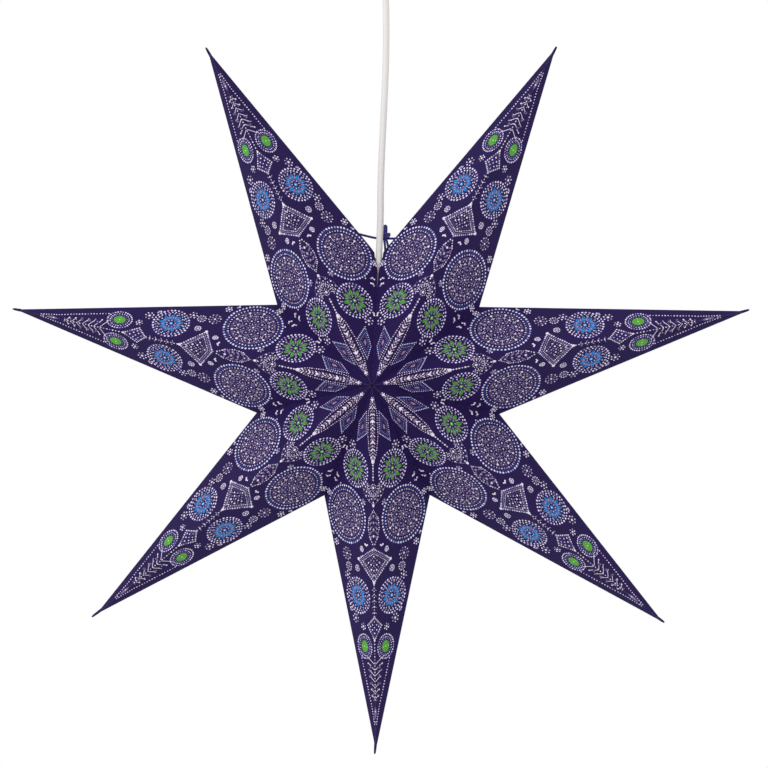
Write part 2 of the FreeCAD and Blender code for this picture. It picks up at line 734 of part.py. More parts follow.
def canopy_grip():
    """The cord grip under the cup: a threaded stud, a body and a tapered nose, with a side screw hole."""
    bore = cable_r + SLIDE_FIT
    outline = [
        (bore, canopy_bottom + CANOPY_WALL + GRIP_STUD),
        (GRIP_THREAD_R, canopy_bottom + CANOPY_WALL + GRIP_STUD),
        (GRIP_THREAD_R, canopy_bottom),
        (GRIP_BODY_R, canopy_bottom),
        (GRIP_BODY_R, canopy_bottom - GRIP_L + GRIP_NOSE),
        (GRIP_NOSE_R, canopy_bottom - GRIP_L),
        (bore, canopy_bottom - GRIP_L),
    ]
    middle = UP * (canopy_bottom - (GRIP_L - GRIP_NOSE) / 2)
    side_hole = rod(GRUB_R, middle + RIGHT * (bore / 2), middle + RIGHT * (GRIP_BODY_R + OVER))
    return revolved(outline).cut(side_hole)


def grub_screw(reach, height):
    """A nylon screw from the cable's side out to the grip's face, with a slot."""
    start = Vector(cable_r + SLIDE_FIT, 0, height)
    end = Vector(reach, 0, height)
    slot = block(reach - GRUB_R / 2, reach + OVER, -GRUB_R, GRUB_R, height - GRUB_R / 5, height + GRUB_R / 5)
    cable = rod(cable_r + SLIDE_FIT, UP * (height - OVER), UP * (height + OVER))
    return rod(GRUB_R, start, end).cut(slot).cut(cable)


def canopy_grip_nut():
    foot = canopy_bottom + CANOPY_WALL
    nut = hexagon(GRIP_NUT_AF, GRIP_NUT_T, foot)
    return nut.cut(rod(GRIP_THREAD_R, UP * (foot - OVER), UP * (foot + GRIP_NUT_T + OVER)))


# Lampholder, built about the star centre
holder_cap_bottom = HOLDER_TOP - HOLDER_GRIP_L - HOLDER_CAP_H
holder_neck = HOLDER_TOP - HOLDER_GRIP_L
insert_low = holder_cap_bottom - LEDGE_T
insert_r = HOLDER_R - HOLDER_WALL - HOLDER_SPIGOT_WALL - FIT
bulb_top = insert_low - CONTACT_T - CONTACT_GAP
bulb_cap_top = bulb_top - BULB_TIP_H
bulb_cap_low = bulb_cap_top - BULB_CONE_H - BULB_CAP_H
collar_low = bulb_cap_low - COLLAR_H
globe_middle = collar_low - GLOBE_DROP
globe_mouth_r = math.sqrt(GLOBE_R ** 2 - GLOBE_DROP ** 2)


def holder_grip():
    """The cord grip on the holder's neck. The star's top seam rests on it."""
    bore = cable_r + SLIDE_FIT
    outline = [
        (bore, HOLDER_TOP),
        (HOLDER_GRIP_R, HOLDER_TOP),
        (HOLDER_GRIP_R, holder_neck),
        (HOLDER_STUD_R, holder_neck),
        (HOLDER_STUD_R, holder_neck - HOLDER_STUD),
        (bore, holder_neck - HOLDER_STUD),
    ]
    middle = UP * (holder_neck + HOLDER_GRIP_L / 2)
    side_hole = rod(GRUB_R, middle + RIGHT * (bore / 2), middle + RIGHT * (HOLDER_GRIP_R + OVER))
    return revolved(outline).cut(side_hole)


def holder_cap():
    """The domed upper half of the lampholder."""
    outline = [
        (HOLDER_STUD_R, holder_neck),
        (HOLDER_NECK_R, holder_neck),
        (HOLDER_R, holder_neck - HOLDER_CONE_H),
        (HOLDER_R, holder_cap_bottom),
        (HOLDER_R - HOLDER_WALL, holder_cap_bottom),
        (HOLDER_R - HOLDER_WALL, holder_neck - HOLDER_CONE_H - HOLDER_WALL / 2),
        (HOLDER_NECK_R - HOLDER_WALL / 2, holder_neck - HOLDER_WALL),
        (HOLDER_STUD_R, holder_neck - HOLDER_WALL),
    ]
    return revolved(outline)


def holder_skirt():
    """The lower half, with grip ribs, a spigot that screws in the cap, and a ledge for the insert."""
    inner = HOLDER_R - HOLDER_WALL
    spigot_inner = inner - HOLDER_SPIGOT_WALL
    low = holder_cap_bottom - HOLDER_SKIRT_H
    outline = [
        (spigot_inner, holder_cap_bottom + HOLDER_SPIGOT_H),
        (inner - FIT, holder_cap_bottom + HOLDER_SPIGOT_H),
        (inner - FIT, holder_cap_bottom),
        (HOLDER_R, holder_cap_bottom),
        (HOLDER_R, low),
        (inner, low),
        (inner, insert_low - LEDGE_T - HOLDER_WALL),
        (spigot_inner - LEDGE_W, insert_low - LEDGE_T),
        (spigot_inner - LEDGE_W, insert_low),
        (spigot_inner, insert_low),
    ]
    shape = revolved(outline)
    rib_top = Vector(HOLDER_R, 0, holder_cap_bottom - HOLDER_WALL)
    rib = rod(HOLDER_RIB_R, rib_top - UP * HOLDER_RIB_H, rib_top)
    rib = rib.cut(rod(HOLDER_R - HOLDER_WALL / 2, UP * low, UP * holder_cap_bottom))
    for k in range(HOLDER_RIBS):
        shape = shape.fuse(turned(rib, k * 360 / HOLDER_RIBS))
    return shape.removeSplitter()


def holder_insert():
    """The insulating insert that carries the contacts, with a well for each terminal."""
    top = insert_low + INSERT_H
    shape = Part.makeCylinder(insert_r, INSERT_H, Vector(0, 0, insert_low), UP)
    for side in (-1, 1):
        place = Vector(side * HOLDER_SCREW_X, 0, top - HOLDER_SCREW_H)
        shape = shape.cut(rod(HOLDER_SCREW_R + HOLDER_WALL / 2, place, place + UP * (HOLDER_SCREW_H + OVER)))
    return shape


def holder_terminals():
    """Two brass posts in the insert's wells, each with a slotted top."""
    made = []
    for side in (-1, 1):
        place = Vector(side * HOLDER_SCREW_X, 0, insert_low + INSERT_H - HOLDER_SCREW_H)
        post = Part.makeCylinder(HOLDER_SCREW_R, HOLDER_SCREW_H, place, UP)
        slot = turned(screw_slot(HOLDER_SCREW_R, place.x, 0), 180, RIGHT)
        made.append(post.cut(moved(slot, z=place.z + HOLDER_SCREW_H - HOLDER_SCREW_R / 2)))
    return Part.makeCompound(made)


def thread_shell():
    """The brass shell that the bulb screws into."""
    low = insert_low - THREAD_SHELL_H
    bore = rod(THREAD_SHELL_R - THREAD_SHELL_T, UP * (low - OVER), UP * (insert_low + OVER))
    return rod(THREAD_SHELL_R, UP * low, UP * insert_low).cut(bore)


def centre_contact():
    """The brass leaf that touches the bulb's tip."""
    half_l = CONTACT_L / 2
    half_w = CONTACT_W / 2
    return block(-half_l, half_l, -half_w, half_w, insert_low - CONTACT_T, insert_low)


def holder_core(side):
    """One core from the cable's end to its terminal in the holder."""
    start = Vector(side * CORE_PITCH / 2, 0, SHEATH_END)
    end = Vector(side * HOLDER_SCREW_X, 0, insert_low + INSERT_H)
    return core(start, UP * -1, end + UP * OVER, UP * -1, OVER)


# Bulb, built about the star centre
def bulb_cap():
    """The metal screw cap, open at the collar and drawn in over the glass at the top."""
    shoulder = bulb_cap_top - BULB_CONE_H
    outline = [
        (BULB_CAP_R - BULB_CAP_WALL, bulb_cap_low),
        (BULB_CAP_R, bulb_cap_low),
        (BULB_CAP_R, shoulder),
        (BULB_GLASS_R, bulb_cap_top - BULB_CAP_WALL),
        (BULB_GLASS_R - BULB_CAP_WALL, bulb_cap_top - BULB_CAP_WALL * 2),
        (BULB_CAP_R - BULB_CAP_WALL, shoulder),
    ]
    return revolved(outline)


def bulb_insulator():
    """The glass bead between the screw cap and the tip."""
    shoulder = bulb_cap_top - BULB_CONE_H
    outline = [
        (0, shoulder),
        (BULB_CAP_R - BULB_CAP_WALL, shoulder),
        (BULB_GLASS_R - BULB_CAP_WALL, bulb_cap_top - BULB_CAP_WALL * 2),
        (BULB_TIP_R, bulb_cap_top),
        (0, bulb_cap_top),
    ]
    return revolved(outline)


def bulb_tip():
    return Part.makeCone(BULB_TIP_R, BULB_TIP_R / 2, BULB_TIP_H, Vector(0, 0, bulb_cap_top), UP)


def bulb_collar():
    """The moulded body between the screw cap and the globe, with cooling ribs."""
    waist = bulb_cap_low - COLLAR_H / 4
    waist_r = BULB_CAP_R + COLLAR_WALL
    outline = [
        (BULB_CAP_R - COLLAR_WALL, bulb_cap_low),
        (BULB_CAP_R, bulb_cap_low),
        (waist_r, waist),
        (globe_mouth_r, collar_low),
        (globe_mouth_r - COLLAR_WALL, collar_low),
        (waist_r - COLLAR_WALL, waist),
    ]
    shape = revolved(outline)
    top = Vector(waist_r, 0, waist)
    foot = Vector(globe_mouth_r, 0, collar_low)
    slope = (foot - top).normalize()
    rib = rod(COLLAR_FIN_R, top + slope * COLLAR_WALL, foot - slope * COLLAR_WALL)
    for k in range(COLLAR_FINS):
        shape = shape.fuse(turned(rib, k * 360 / COLLAR_FINS))
    return shape.removeSplitter()


def bulb_globe():
    """The opal globe, a hollow ball cut flat at the collar."""
    middle = Vector(0, 0, globe_middle)
    shape = Part.makeSphere(GLOBE_R, middle).cut(Part.makeSphere(GLOBE_R - GLOBE_WALL, middle))
    return shape.cut(block(-GLOBE_R, GLOBE_R, -GLOBE_R, GLOBE_R, collar_low, globe_middle + GLOBE_R + OVER))


def at_star(shape):
    return moved(shape, z=star_z)


# Pieces fixed to the ceiling
save("ceiling_bracket", ceiling_bracket())
save("cable_clamp", cable_clamp())
save("clamp_screws", clamp_screws())
save("terminal_block", terminal_block())
save("terminal_inserts", terminal_inserts())
save("terminal_screws", terminal_screws())
block_foot = Vector(BLOCK_X, 0, -BRACKET_T - BLOCK_H)
save("terminal_block_screw", slotted_screw(block_foot, UP, BLOCK_H + BRACKET_T))
insert_mouth = BLOCK_X + BLOCK_L / 2 - BRACKET_T
for name, side in (("core_brown_top", -1), ("core_blue_top", 1)):
    core_foot = Vector(0, side * CORE_PITCH / 2, -SHEATH_TOP)
    core_end = Vector(insert_mouth, side * POLE_PITCH / 2, terminal_height())
    save(name, core(core_foot, UP, core_end, RIGHT * -1, CORE_REACH))
save("cable_top", cable_top())

# Pieces that slide down the cable with the canopy
save("canopy_cup", canopy_cup())
save("canopy_grip", canopy_grip())
save("canopy_grip_nut", canopy_grip_nut())
save("canopy_grip_screw", grub_screw(GRIP_BODY_R, canopy_bottom - (GRIP_L - GRIP_NOSE) / 2))

# The hanging cable and its lampholder
save("cable_drop", cable_drop())
save("holder_grip", at_star(holder_grip()))
save("holder_grip_screw", at_star(grub_screw(HOLDER_GRIP_R, holder_neck + HOLDER_GRIP_L / 2)))
save("holder_cap", at_star(holder_cap()))
save("holder_skirt", at_star(holder_skirt()))
save("holder_insert", at_star(holder_insert()))
save("holder_terminals", at_star(holder_terminals()))
save("holder_thread_shell", at_star(thread_shell()))
save("holder_centre_contact", at_star(centre_contact()))
save("core_brown_lamp", at_star(holder_core(-1)))
save("core_blue_lamp", at_star(holder_core(1)))

# The bulb
save("bulb_cap", at_star(bulb_cap()))
save("bulb_insulator", at_star(bulb_insulator()))
save("bulb_tip", at_star(bulb_tip()))
save("bulb_collar", at_star(bulb_collar()))
save("bulb_globe", at_star(bulb_globe()))

# The star
for number in range(1, RAYS + 1):
    save("ray_" + str(number), ray(number))
save("seam_tie_front", seam_tie(-1))
save("seam_tie_back", seam_tie(1))
save("tie_string", tie_string())
save("tie_loop", tie_loop())
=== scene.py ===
import math
import random

import bmesh
import bpy
import numpy as np
from mathutils import Matrix, Vector
from mathutils.geometry import delaunay_2d_cdt


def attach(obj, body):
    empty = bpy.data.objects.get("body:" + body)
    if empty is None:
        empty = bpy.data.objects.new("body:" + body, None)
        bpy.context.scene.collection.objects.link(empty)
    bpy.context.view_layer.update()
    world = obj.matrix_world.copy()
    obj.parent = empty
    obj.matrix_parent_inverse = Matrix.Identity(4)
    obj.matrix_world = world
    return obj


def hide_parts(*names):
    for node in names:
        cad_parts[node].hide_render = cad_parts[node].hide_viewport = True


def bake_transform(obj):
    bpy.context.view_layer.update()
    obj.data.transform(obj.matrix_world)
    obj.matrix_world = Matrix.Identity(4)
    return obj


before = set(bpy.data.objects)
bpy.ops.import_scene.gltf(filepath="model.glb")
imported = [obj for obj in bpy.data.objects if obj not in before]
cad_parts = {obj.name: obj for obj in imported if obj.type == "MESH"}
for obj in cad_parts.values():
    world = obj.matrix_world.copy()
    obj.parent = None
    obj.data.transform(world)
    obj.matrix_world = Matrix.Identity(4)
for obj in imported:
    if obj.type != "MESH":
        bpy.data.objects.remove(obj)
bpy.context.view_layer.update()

# The photograph's view: a long lens 2.5 m away, a little to the right of the star's front and a
# little above its middle, hardly tilted. Its pixels are counted on a picture 768 wide and high.
star_middle = Vector((0, 0, -0.4965))
view_distance = 2.5
view_yaw = math.radians(3.92)
view_pitch = math.radians(2.24)
view_roll = math.radians(0.227)
picture_size = 768
focal_pixels = 3043.67
middle_pixel = (378.32, 382.23)
sensor_width = 36

sideways = Vector((math.cos(view_yaw), math.sin(view_yaw), 0))
to_camera = Vector((math.sin(view_yaw), -math.cos(view_yaw), 0)) * math.cos(view_pitch)
to_camera.z = math.sin(view_pitch)
upwards = sideways.cross(-to_camera)
level_right = sideways * math.cos(view_roll) + upwards * math.sin(view_roll)
level_up = upwards * math.cos(view_roll) - sideways * math.sin(view_roll)
lens = bpy.data.cameras.new("camera")
lens.sensor_width = sensor_width
lens.lens = sensor_width * focal_pixels / picture_size
lens.shift_x = (picture_size / 2 - middle_pixel[0]) / picture_size
lens.shift_y = (middle_pixel[1] - picture_size / 2) / picture_size
camera = bpy.data.objects.new("camera", lens)
turned = Matrix((level_right, level_up, to_camera)).transposed().to_4x4()
camera.matrix_world = Matrix.Translation(star_middle + to_camera * view_distance) @ turned
bpy.context.scene.collection.objects.link(camera)
bpy.context.scene.camera = camera
bpy.context.scene.view_settings.view_transform = "Standard"


# The studio: an even white room, a broad lamp on the left, a weaker one on the right, and a round
# pale painted floor as far below the ceiling as in a hall.
def linear(hex_colour):
    """A colour written as sRGB hex, as the linear numbers that Blender takes."""
    parts = [int(hex_colour[i:i + 2], 16) / 255 for i in (1, 3, 5)]
    return [p / 12.92 if p <= 0.04045 else ((p + 0.055) / 1.055) ** 2.4 for p in parts] + [1.0]


def set_up(tree, node, settings=None, links=None):
    """Set a node's settings and plain inputs, and link its other inputs."""
    for name, value in (settings or {}).items():
        if hasattr(node, str(name)):
            setattr(node, name, value)
        else:
            node.inputs[name].default_value = value
    for name, source in (links or {}).items():
        tree.links.new(source, node.inputs[name])
    return node


def add_node(tree, kind, settings=None, links=None):
    """Add a node with its settings and links."""
    return set_up(tree, tree.nodes.new(kind), settings, links)


def start_material(name):
    """A new material, with its node tree and its shader."""
    material = bpy.data.materials.new(name)
    material.use_nodes = True
    return material, material.node_tree, material.node_tree.nodes["Principled BSDF"]


# The room lights the lantern a little less than its white shows behind it and in its gloss.
room = bpy.data.worlds.new("white_room")
room.use_nodes = True
room.node_tree.nodes.clear()
looks = add_node(room.node_tree, "ShaderNodeLightPath")
seen = add_node(room.node_tree, "ShaderNodeMath", {"operation": "MAXIMUM"},
                {0: looks.outputs["Is Camera Ray"], 1: looks.outputs["Is Glossy Ray"]})
seen = add_node(room.node_tree, "ShaderNodeMath", {"operation": "MAXIMUM"},
                {0: seen.outputs[0], 1: looks.outputs["Is Transmission Ray"]})
lit = add_node(room.node_tree, "ShaderNodeBackground", {"Color": linear("#ffffff"), "Strength": 0.8})
shown = add_node(room.node_tree, "ShaderNodeBackground", {"Color": linear("#ffffff"), "Strength": 1.0})
mixed = add_node(room.node_tree, "ShaderNodeMixShader", None,
                 {0: seen.outputs[0], 1: lit.outputs[0], 2: shown.outputs[0]})
add_node(room.node_tree, "ShaderNodeOutputWorld", None, {"Surface": mixed.outputs[0]})
bpy.context.scene.world = room

for lamp_name, place, size, power in (
    ("lamp_left", (-2.2, -1.9, 0.5), 1.6, 26),
    ("lamp_right", (2.0, -2.4, 0.2), 1.6, 8),
):
    lamp = bpy.data.lights.new(lamp_name, "AREA")
    lamp.shape = "DISK"
    lamp.size = size
    lamp.energy = power
    lamp_object = bpy.data.objects.new(lamp_name, lamp)
    aim = (star_middle - Vector(place)).to_track_quat("-Z", "Y").to_matrix().to_4x4()
    lamp_object.matrix_world = Matrix.Translation(Vector(place)) @ aim
    bpy.context.scene.collection.objects.link(lamp_object)

floor_height = -3.4
floor_radius = 9.0
floor_sides = 96
floor_turns = [math.tau * k / floor_sides for k in range(floor_sides)]
floor_rim = [(floor_radius * math.cos(a), floor_radius * math.sin(a), floor_height) for a in floor_turns]
floor_mesh = bpy.data.meshes.new("floor")
floor_mesh.from_pydata(floor_rim, [], [tuple(range(floor_sides))])
floor = bpy.data.objects.new("floor", floor_mesh)
bpy.context.scene.collection.objects.link(floor)
# Matt floor paint, rolled on: an even white without gloss, which only takes a soft shadow.
pale_paint, paint_tree, paint_shader = start_material("pale_floor_paint")
set_up(paint_tree, paint_shader, {"Base Color": linear("#f8f8f7"), "Roughness": 0.9})
floor_mesh.materials.append(pale_paint)


# The gear on the ceiling: a pressed steel strap, zinc plated, screwed up through its two slots.
# The cable is clamped under it, and its two cores end in a nylon terminal block with brass inserts.
mm = 0.001


def finish_nodes(material, *nodes):
    """Give a material to pieces that keep their CAD shapes."""
    for node in nodes:
        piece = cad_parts[node]
        piece.data.materials.clear()
        piece.data.materials.append(material)


def on_surface(tree):
    """The link that lays a texture out by the piece's own metres."""
    return {"Vector": add_node(tree, "ShaderNodeTexCoord").outputs["Object"]}


def metal(name, hex_colour, roughness, stretch, spangle):
    """Bare or plated metal: lines from rolling or turning along one axis, and patches of polish as wide
    as the spangle in millimetres. The real lines are too fine to show, so they are 0.4 mm wide."""
    material, tree, shader = start_material(name)
    place = on_surface(tree)
    drawn = add_node(tree, "ShaderNodeMapping", {"Scale": stretch}, place)
    lines = add_node(tree, "ShaderNodeTexNoise", {"Scale": 1 / (0.4 * mm), "Detail": 3.0},
                     {"Vector": drawn.outputs["Vector"]})
    patches = add_node(tree, "ShaderNodeTexVoronoi", {"Scale": 1 / (spangle * mm)}, place)
    tint = add_node(tree, "ShaderNodeValToRGB", None, {"Fac": patches.outputs["Color"]})
    base = linear(hex_colour)
    tint.color_ramp.elements[0].color = [c * 0.86 for c in base[:3]] + [1]
    tint.color_ramp.elements[1].color = base
    bump = add_node(tree, "ShaderNodeBump", {"Strength": 0.4, "Distance": 0.02 * mm},
                    {"Height": lines.outputs["Fac"]})
    polish = add_node(tree, "ShaderNodeMapRange", {"To Min": roughness - 0.08, "To Max": roughness + 0.1},
                      {"Value": lines.outputs["Fac"]})
    set_up(tree, shader, {"Metallic": 1.0},
           {"Base Color": tint.outputs["Color"], "Roughness": polish.outputs["Result"],
            "Normal": bump.outputs["Normal"]})
    return material


def clouded(name, hex_colour, width, darkest):
    """A material whose colour drifts in clouds of a width in millimetres, down to the share darkest."""
    material, tree, shader = start_material(name)
    place = on_surface(tree)
    clouds = add_node(tree, "ShaderNodeTexNoise", {"Scale": 1 / (width * mm), "Detail": 3.0}, place)
    tint = add_node(tree, "ShaderNodeValToRGB", None, {"Fac": clouds.outputs["Fac"]})
    base = linear(hex_colour)
    tint.color_ramp.elements[0].color = [c * darkest for c in base[:3]] + [1]
    tint.color_ramp.elements[1].color = base
    set_up(tree, shader, None, {"Base Color": tint.outputs["Color"]})
    return material, tree, shader, place, clouds


def moulded(name, hex_colour, roughness, grain, depth, cloud=0.03, glow=0.0):
    """Moulded plastic, glass or fired clay. Its pits are grain wide and depth deep in millimetres,
    drawn coarser than real ones. Its colour drifts by the share cloud to either side of its middle,
    and the share glow of the light goes into it."""
    material, tree, shader, place, clouds = clouded(name, hex_colour, 11, 1 - 2 * cloud)
    pits = add_node(tree, "ShaderNodeTexNoise",
                    {"Scale": 1 / (grain * mm), "Detail": 2.0, "Roughness": 0.6}, place)
    bump = add_node(tree, "ShaderNodeBump", {"Strength": 0.5, "Distance": depth * mm},
                    {"Height": pits.outputs["Fac"]})
    polish = add_node(tree, "ShaderNodeMapRange", {"To Min": roughness - 0.06, "To Max": roughness + 0.06},
                      {"Value": clouds.outputs["Fac"]})
    set_up(tree, shader,
           {"Subsurface Weight": glow, "Subsurface Radius": (1.2 * mm, 1.2 * mm, 1.0 * mm),
            "Subsurface Scale": 1.0},
           {"Roughness": polish.outputs["Result"], "Normal": bump.outputs["Normal"]})
    return material


def soft_sheath(name, hex_colour):
    """Extruded PVC: semi-gloss, with a faint waviness and hardly any change of colour."""
    material, tree, shader, place, _ = clouded(name, hex_colour, 9, 0.965)
    waves = add_node(tree, "ShaderNodeTexNoise", {"Scale": 1 / (2.2 * mm), "Detail": 2.0}, place)
    bump = add_node(tree, "ShaderNodeBump", {"Strength": 0.25, "Distance": 0.05 * mm},
                    {"Height": waves.outputs["Fac"]})
    set_up(tree, shader, {"Roughness": 0.45, "IOR": 1.53}, {"Normal": bump.outputs["Normal"]})
    return material


# Zinc plating on rolled steel: a cool pale grey, half matt, with small spangles.
zinc_plated_steel = metal("zinc_plated_steel", "#b9bcc2", 0.34, (1, 8, 8), 3.0)
# Drawn brass: a warm yellow with a soft gloss and fine lines round it.
drawn_brass = metal("drawn_brass", "#d9b568", 0.3, (8, 8, 1), 6.0)
# Moulded nylon: a creamy matt white that lets a little light in.
matt_white_nylon = moulded("matt_white_nylon", "#ebe8df", 0.5, 0.5, 0.02, glow=0.1)
# Extruded PVC round each core: the brown and the blue of mains wiring, softly glossy.
brown_core_pvc = soft_sheath("brown_core_pvc", "#5d3a22")
blue_core_pvc = soft_sheath("blue_core_pvc", "#2462b4")
finish_nodes(zinc_plated_steel, "ceiling_bracket", "clamp_screws", "terminal_screws", "terminal_block_screw")
finish_nodes(drawn_brass, "terminal_inserts")
finish_nodes(matt_white_nylon, "cable_clamp", "terminal_block")
finish_nodes(brown_core_pvc, "core_brown_top")
finish_nodes(blue_core_pvc, "core_blue_top")

# The ceiling cup hides the gear. It is moulded in ABS, and its split grip is screwed tight on the
# cable, so that it stays up against the ceiling and slides down once the grip is loose.
# ABS from a polished mould: a clean white with a clear, slightly wavy shine.
glossy_white_abs = moulded("glossy_white_abs", "#efeeea", 0.26, 1.6, 0.012)
finish_nodes(glossy_white_abs, "canopy_cup", "canopy_grip", "canopy_grip_nut")
finish_nodes(matt_white_nylon, "canopy_grip_screw")

# The mains cable: round two-core flex with a soft white PVC sheath, clamped in the ceiling gear and
# hung straight down to the lampholder. It keeps a faint bow from the coil that it was sold in.
cable_width = 5.5 * mm
cable_corners = 20
cable_step = 1.5 * mm
# Control points in millimetres from the ceiling. The cable runs through the middle between each two.
cable_route = [(0, 0, -14.0), (0, 0, -99.5), (0, 0, -124.5), (1.6, 0, -149.5), (5.2, 0, -182.5),
               (5.45, 0, -234.5), (2.5, 0, -299.5), (1.15, 0, -336.5), (1.35, 0, -364.5),
               (0.2, 0, -386.5), (0, 0, -402.5), (0, 0, -435.5)]


def spline_points(name, route):
    """The smooth line that a route of control points gives, as points read from its spline."""
    curve = bpy.data.curves.new(name, "CURVE")
    curve.dimensions = "3D"
    curve.resolution_u = 12
    spline = curve.splines.new("NURBS")
    spline.points.add(len(route) - 1)
    for point, place in zip(spline.points, route):
        point.co = (*[v * mm for v in place], 1)
    spline.order_u = 3
    spline.use_endpoint_u = True
    holder = bpy.data.objects.new(name, curve)
    line = bpy.data.meshes.new_from_object(holder)
    points = [v.co.copy() for v in line.vertices]
    bpy.data.objects.remove(holder)
    bpy.data.curves.remove(curve)
    bpy.data.meshes.remove(line)
    return points


def even_points(points, spacing):
    """The same line with its points evenly spaced."""
    steps = np.array([(b - a).length for a, b in zip(points, points[1:])])
    lengths = np.concatenate([[0], np.cumsum(steps)])
    count = max(2, int(round(lengths[-1] / spacing)) + 1)
    wanted = np.linspace(0, lengths[-1], count)
    table = np.array([list(p) for p in points])
    return [Vector([np.interp(w, lengths, table[:, axis]) for axis in range(3)]) for w in wanted]


def line_length(points):
    """How long a line of points is."""
    return sum((b - a).length for a, b in zip(points, points[1:]))


def sweep(points, section):
    """Rings of vertices along a line, capped at both ends. section gives a ring's radii from its number
    and the length travelled so far."""
    verts = []
    faces = []
    side = None
    sides = len(section(0, 0.0))
    travelled = 0.0
    for ring, place in enumerate(points):
        before = points[max(ring - 1, 0)]
        after = points[min(ring + 1, len(points) - 1)]
        way = (after - before).normalized()
        if side is None:
            side = way.orthogonal().normalized()
        side = (side - way * side.dot(way)).normalized()
        third = way.cross(side)
        if ring:
            travelled += (place - before).length
        for k, radius in enumerate(section(ring, travelled)):
            angle = math.tau * k / sides
            verts.append(place + (side * math.cos(angle) + third * math.sin(angle)) * radius)
        if ring:
            first = (ring - 1) * sides
            for k in range(sides):
                n = (k + 1) % sides
                faces.append((first + k, first + n, first + sides + n, first + sides + k))
    last = (len(points) - 1) * sides
    faces.append(tuple(range(sides - 1, -1, -1)))
    faces.append(tuple(range(last, last + sides)))
    return verts, faces


def add_piece(name, verts, faces, materials):
    """A smooth mesh object in the lantern's own frame, with its materials."""
    mesh = bpy.data.meshes.new(name)
    mesh.from_pydata([tuple(v) for v in verts], [], faces)
    for material in materials:
        mesh.materials.append(material)
    mesh.polygons.foreach_set("use_smooth", [True] * len(mesh.polygons))
    mesh.update()
    piece = bpy.data.objects.new(name, mesh)
    bpy.context.scene.collection.objects.link(piece)
    return piece


# Soft PVC, extruded: a faintly grey white with a broad, dull shine down one side.
white_sheath = soft_sheath("white_pvc_sheath", "#e7e3e1")
cable_line = even_points(spline_points("cable_line", cable_route), cable_step)
cable_verts, cable_faces = sweep(cable_line, lambda ring, travelled: [cable_width / 2] * cable_corners)
cable = add_piece("cable", cable_verts, cable_faces, [white_sheath])
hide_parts("cable_top", "cable_drop")
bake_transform(cable)

# The lampholder on the cable's end: a cap and a skirt of PBT, screwed together round a steatite
# insert that carries the brass thread and contacts. A grip with a nylon screw holds it on the cable.
# Moulded PBT: a white with a satin skin.
satin_white_pbt = moulded("satin_white_pbt", "#eeede8", 0.4, 0.6, 0.02)
# Pressed and fired steatite: a dull, sandy cream.
fired_steatite = moulded("fired_steatite", "#e4dccb", 0.7, 0.35, 0.03, cloud=0.06)
finish_nodes(satin_white_pbt, "holder_grip", "holder_cap", "holder_skirt")
finish_nodes(matt_white_nylon, "holder_grip_screw")
finish_nodes(fired_steatite, "holder_insert")
finish_nodes(drawn_brass, "holder_terminals", "holder_thread_shell", "holder_centre_contact")
finish_nodes(brown_core_pvc, "core_brown_lamp")
finish_nodes(blue_core_pvc, "core_blue_lamp")

# The bulb: a small round lamp with a blown opal globe, glued in a moulded collar. Its screw cap is
# pressed from thin metal and nickel plated, and its tip is set in black glass.
# Nickel plate: a bright, slightly yellow mirror, dulled a little by handling.
nickel_plate = metal("nickel_plate", "#c9c4b9", 0.22, (8, 8, 1), 7.0)
# Glass melted into the cap: black, with a clear shine.
fused_black_glass = moulded("fused_black_glass", "#15151a", 0.12, 1.5, 0.01)
# Blown opal plastic: milky, with a soft shine, and the light goes well into it.
opal_blown_plastic = moulded("opal_blown_plastic", "#f2f1ec", 0.32, 2.5, 0.01, cloud=0.01, glow=0.6)
finish_nodes(nickel_plate, "bulb_cap", "bulb_tip")
finish_nodes(fused_black_glass, "bulb_insulator")
finish_nodes(satin_white_pbt, "bulb_collar")
finish_nodes(opal_blown_plastic, "bulb_globe")

# The star's card: each ray is one sheet of uncoated 0.4 mm card, printed by offset in nine inks over
# a deep indigo, folded into four panels, glued at the back and pinched to a tail at the tip.
half_depth = 72.0
apex_radius = 305.5
card = 0.4
flange_width = 9.0
peak_relief = 1.2
# The tips, the tails' ends and the notches stand where they do in the photograph, as x and z from
# the star's middle in millimetres. They go clockwise from the top notch and the ray to its right.
apexes = [(143.5, 273.0), (300.7, 59.9), (234.4, -195.1), (-0.9, -304.1), (-233.6, -194.0),
          (-301.1, 58.3), (-141.5, 271.8)]
tail_ends = [(144.4, 274.6), (302.4, 61.1), (235.5, -195.2), (-1.8, -307.1), (-237.3, -196.3),
             (-303.4, 58.7), (-143.1, 274.0)]
notches = [(0.0, 102.8), (82.7, 62.3), (99.6, -25.4), (42.8, -92.5), (-44.2, -93.5), (-100.4, -25.9),
           (-83.7, 63.3)]
ray_count = len(apexes)
right_ray = 0
left_ray = 6

# One panel as it lies flat: s runs along the ridge from the peak, t across from it, in millimetres.
# Its third corner is the notch, and the seam runs from there to the peak.
ridge_length = math.hypot(apex_radius, half_depth)
seam_corner = (107.0, 65.7)
seam_length = math.hypot(*seam_corner)
trim = peak_relief / seam_length

# The print is drawn once, on that panel, and each of the 28 panels carries it or its mirror image.
# Its numbers are places and widths in millimetres, or shares of a figure's size.
INDIGO, PALE, LILAC, GREEN, BLUE, NAVY, BLUSH, PEARL, MAUVE, DUSK, BARE = range(11)
marks = []
hand = random.Random(11)


def shape(ink, outline):
    """Print an outline in an ink. Its points are put in the turning order that the cut needs."""
    turning = sum(a[0] * b[1] - b[0] * a[1] for a, b in zip(outline, outline[1:] + outline[:1]))
    marks.append((ink, outline if turning > 0 else outline[::-1]))


def shrunk(outline, middle, share):
    """The same outline, drawn smaller or larger round a middle."""
    return [(middle[0] + (s - middle[0]) * share, middle[1] + (t - middle[1]) * share) for s, t in outline]


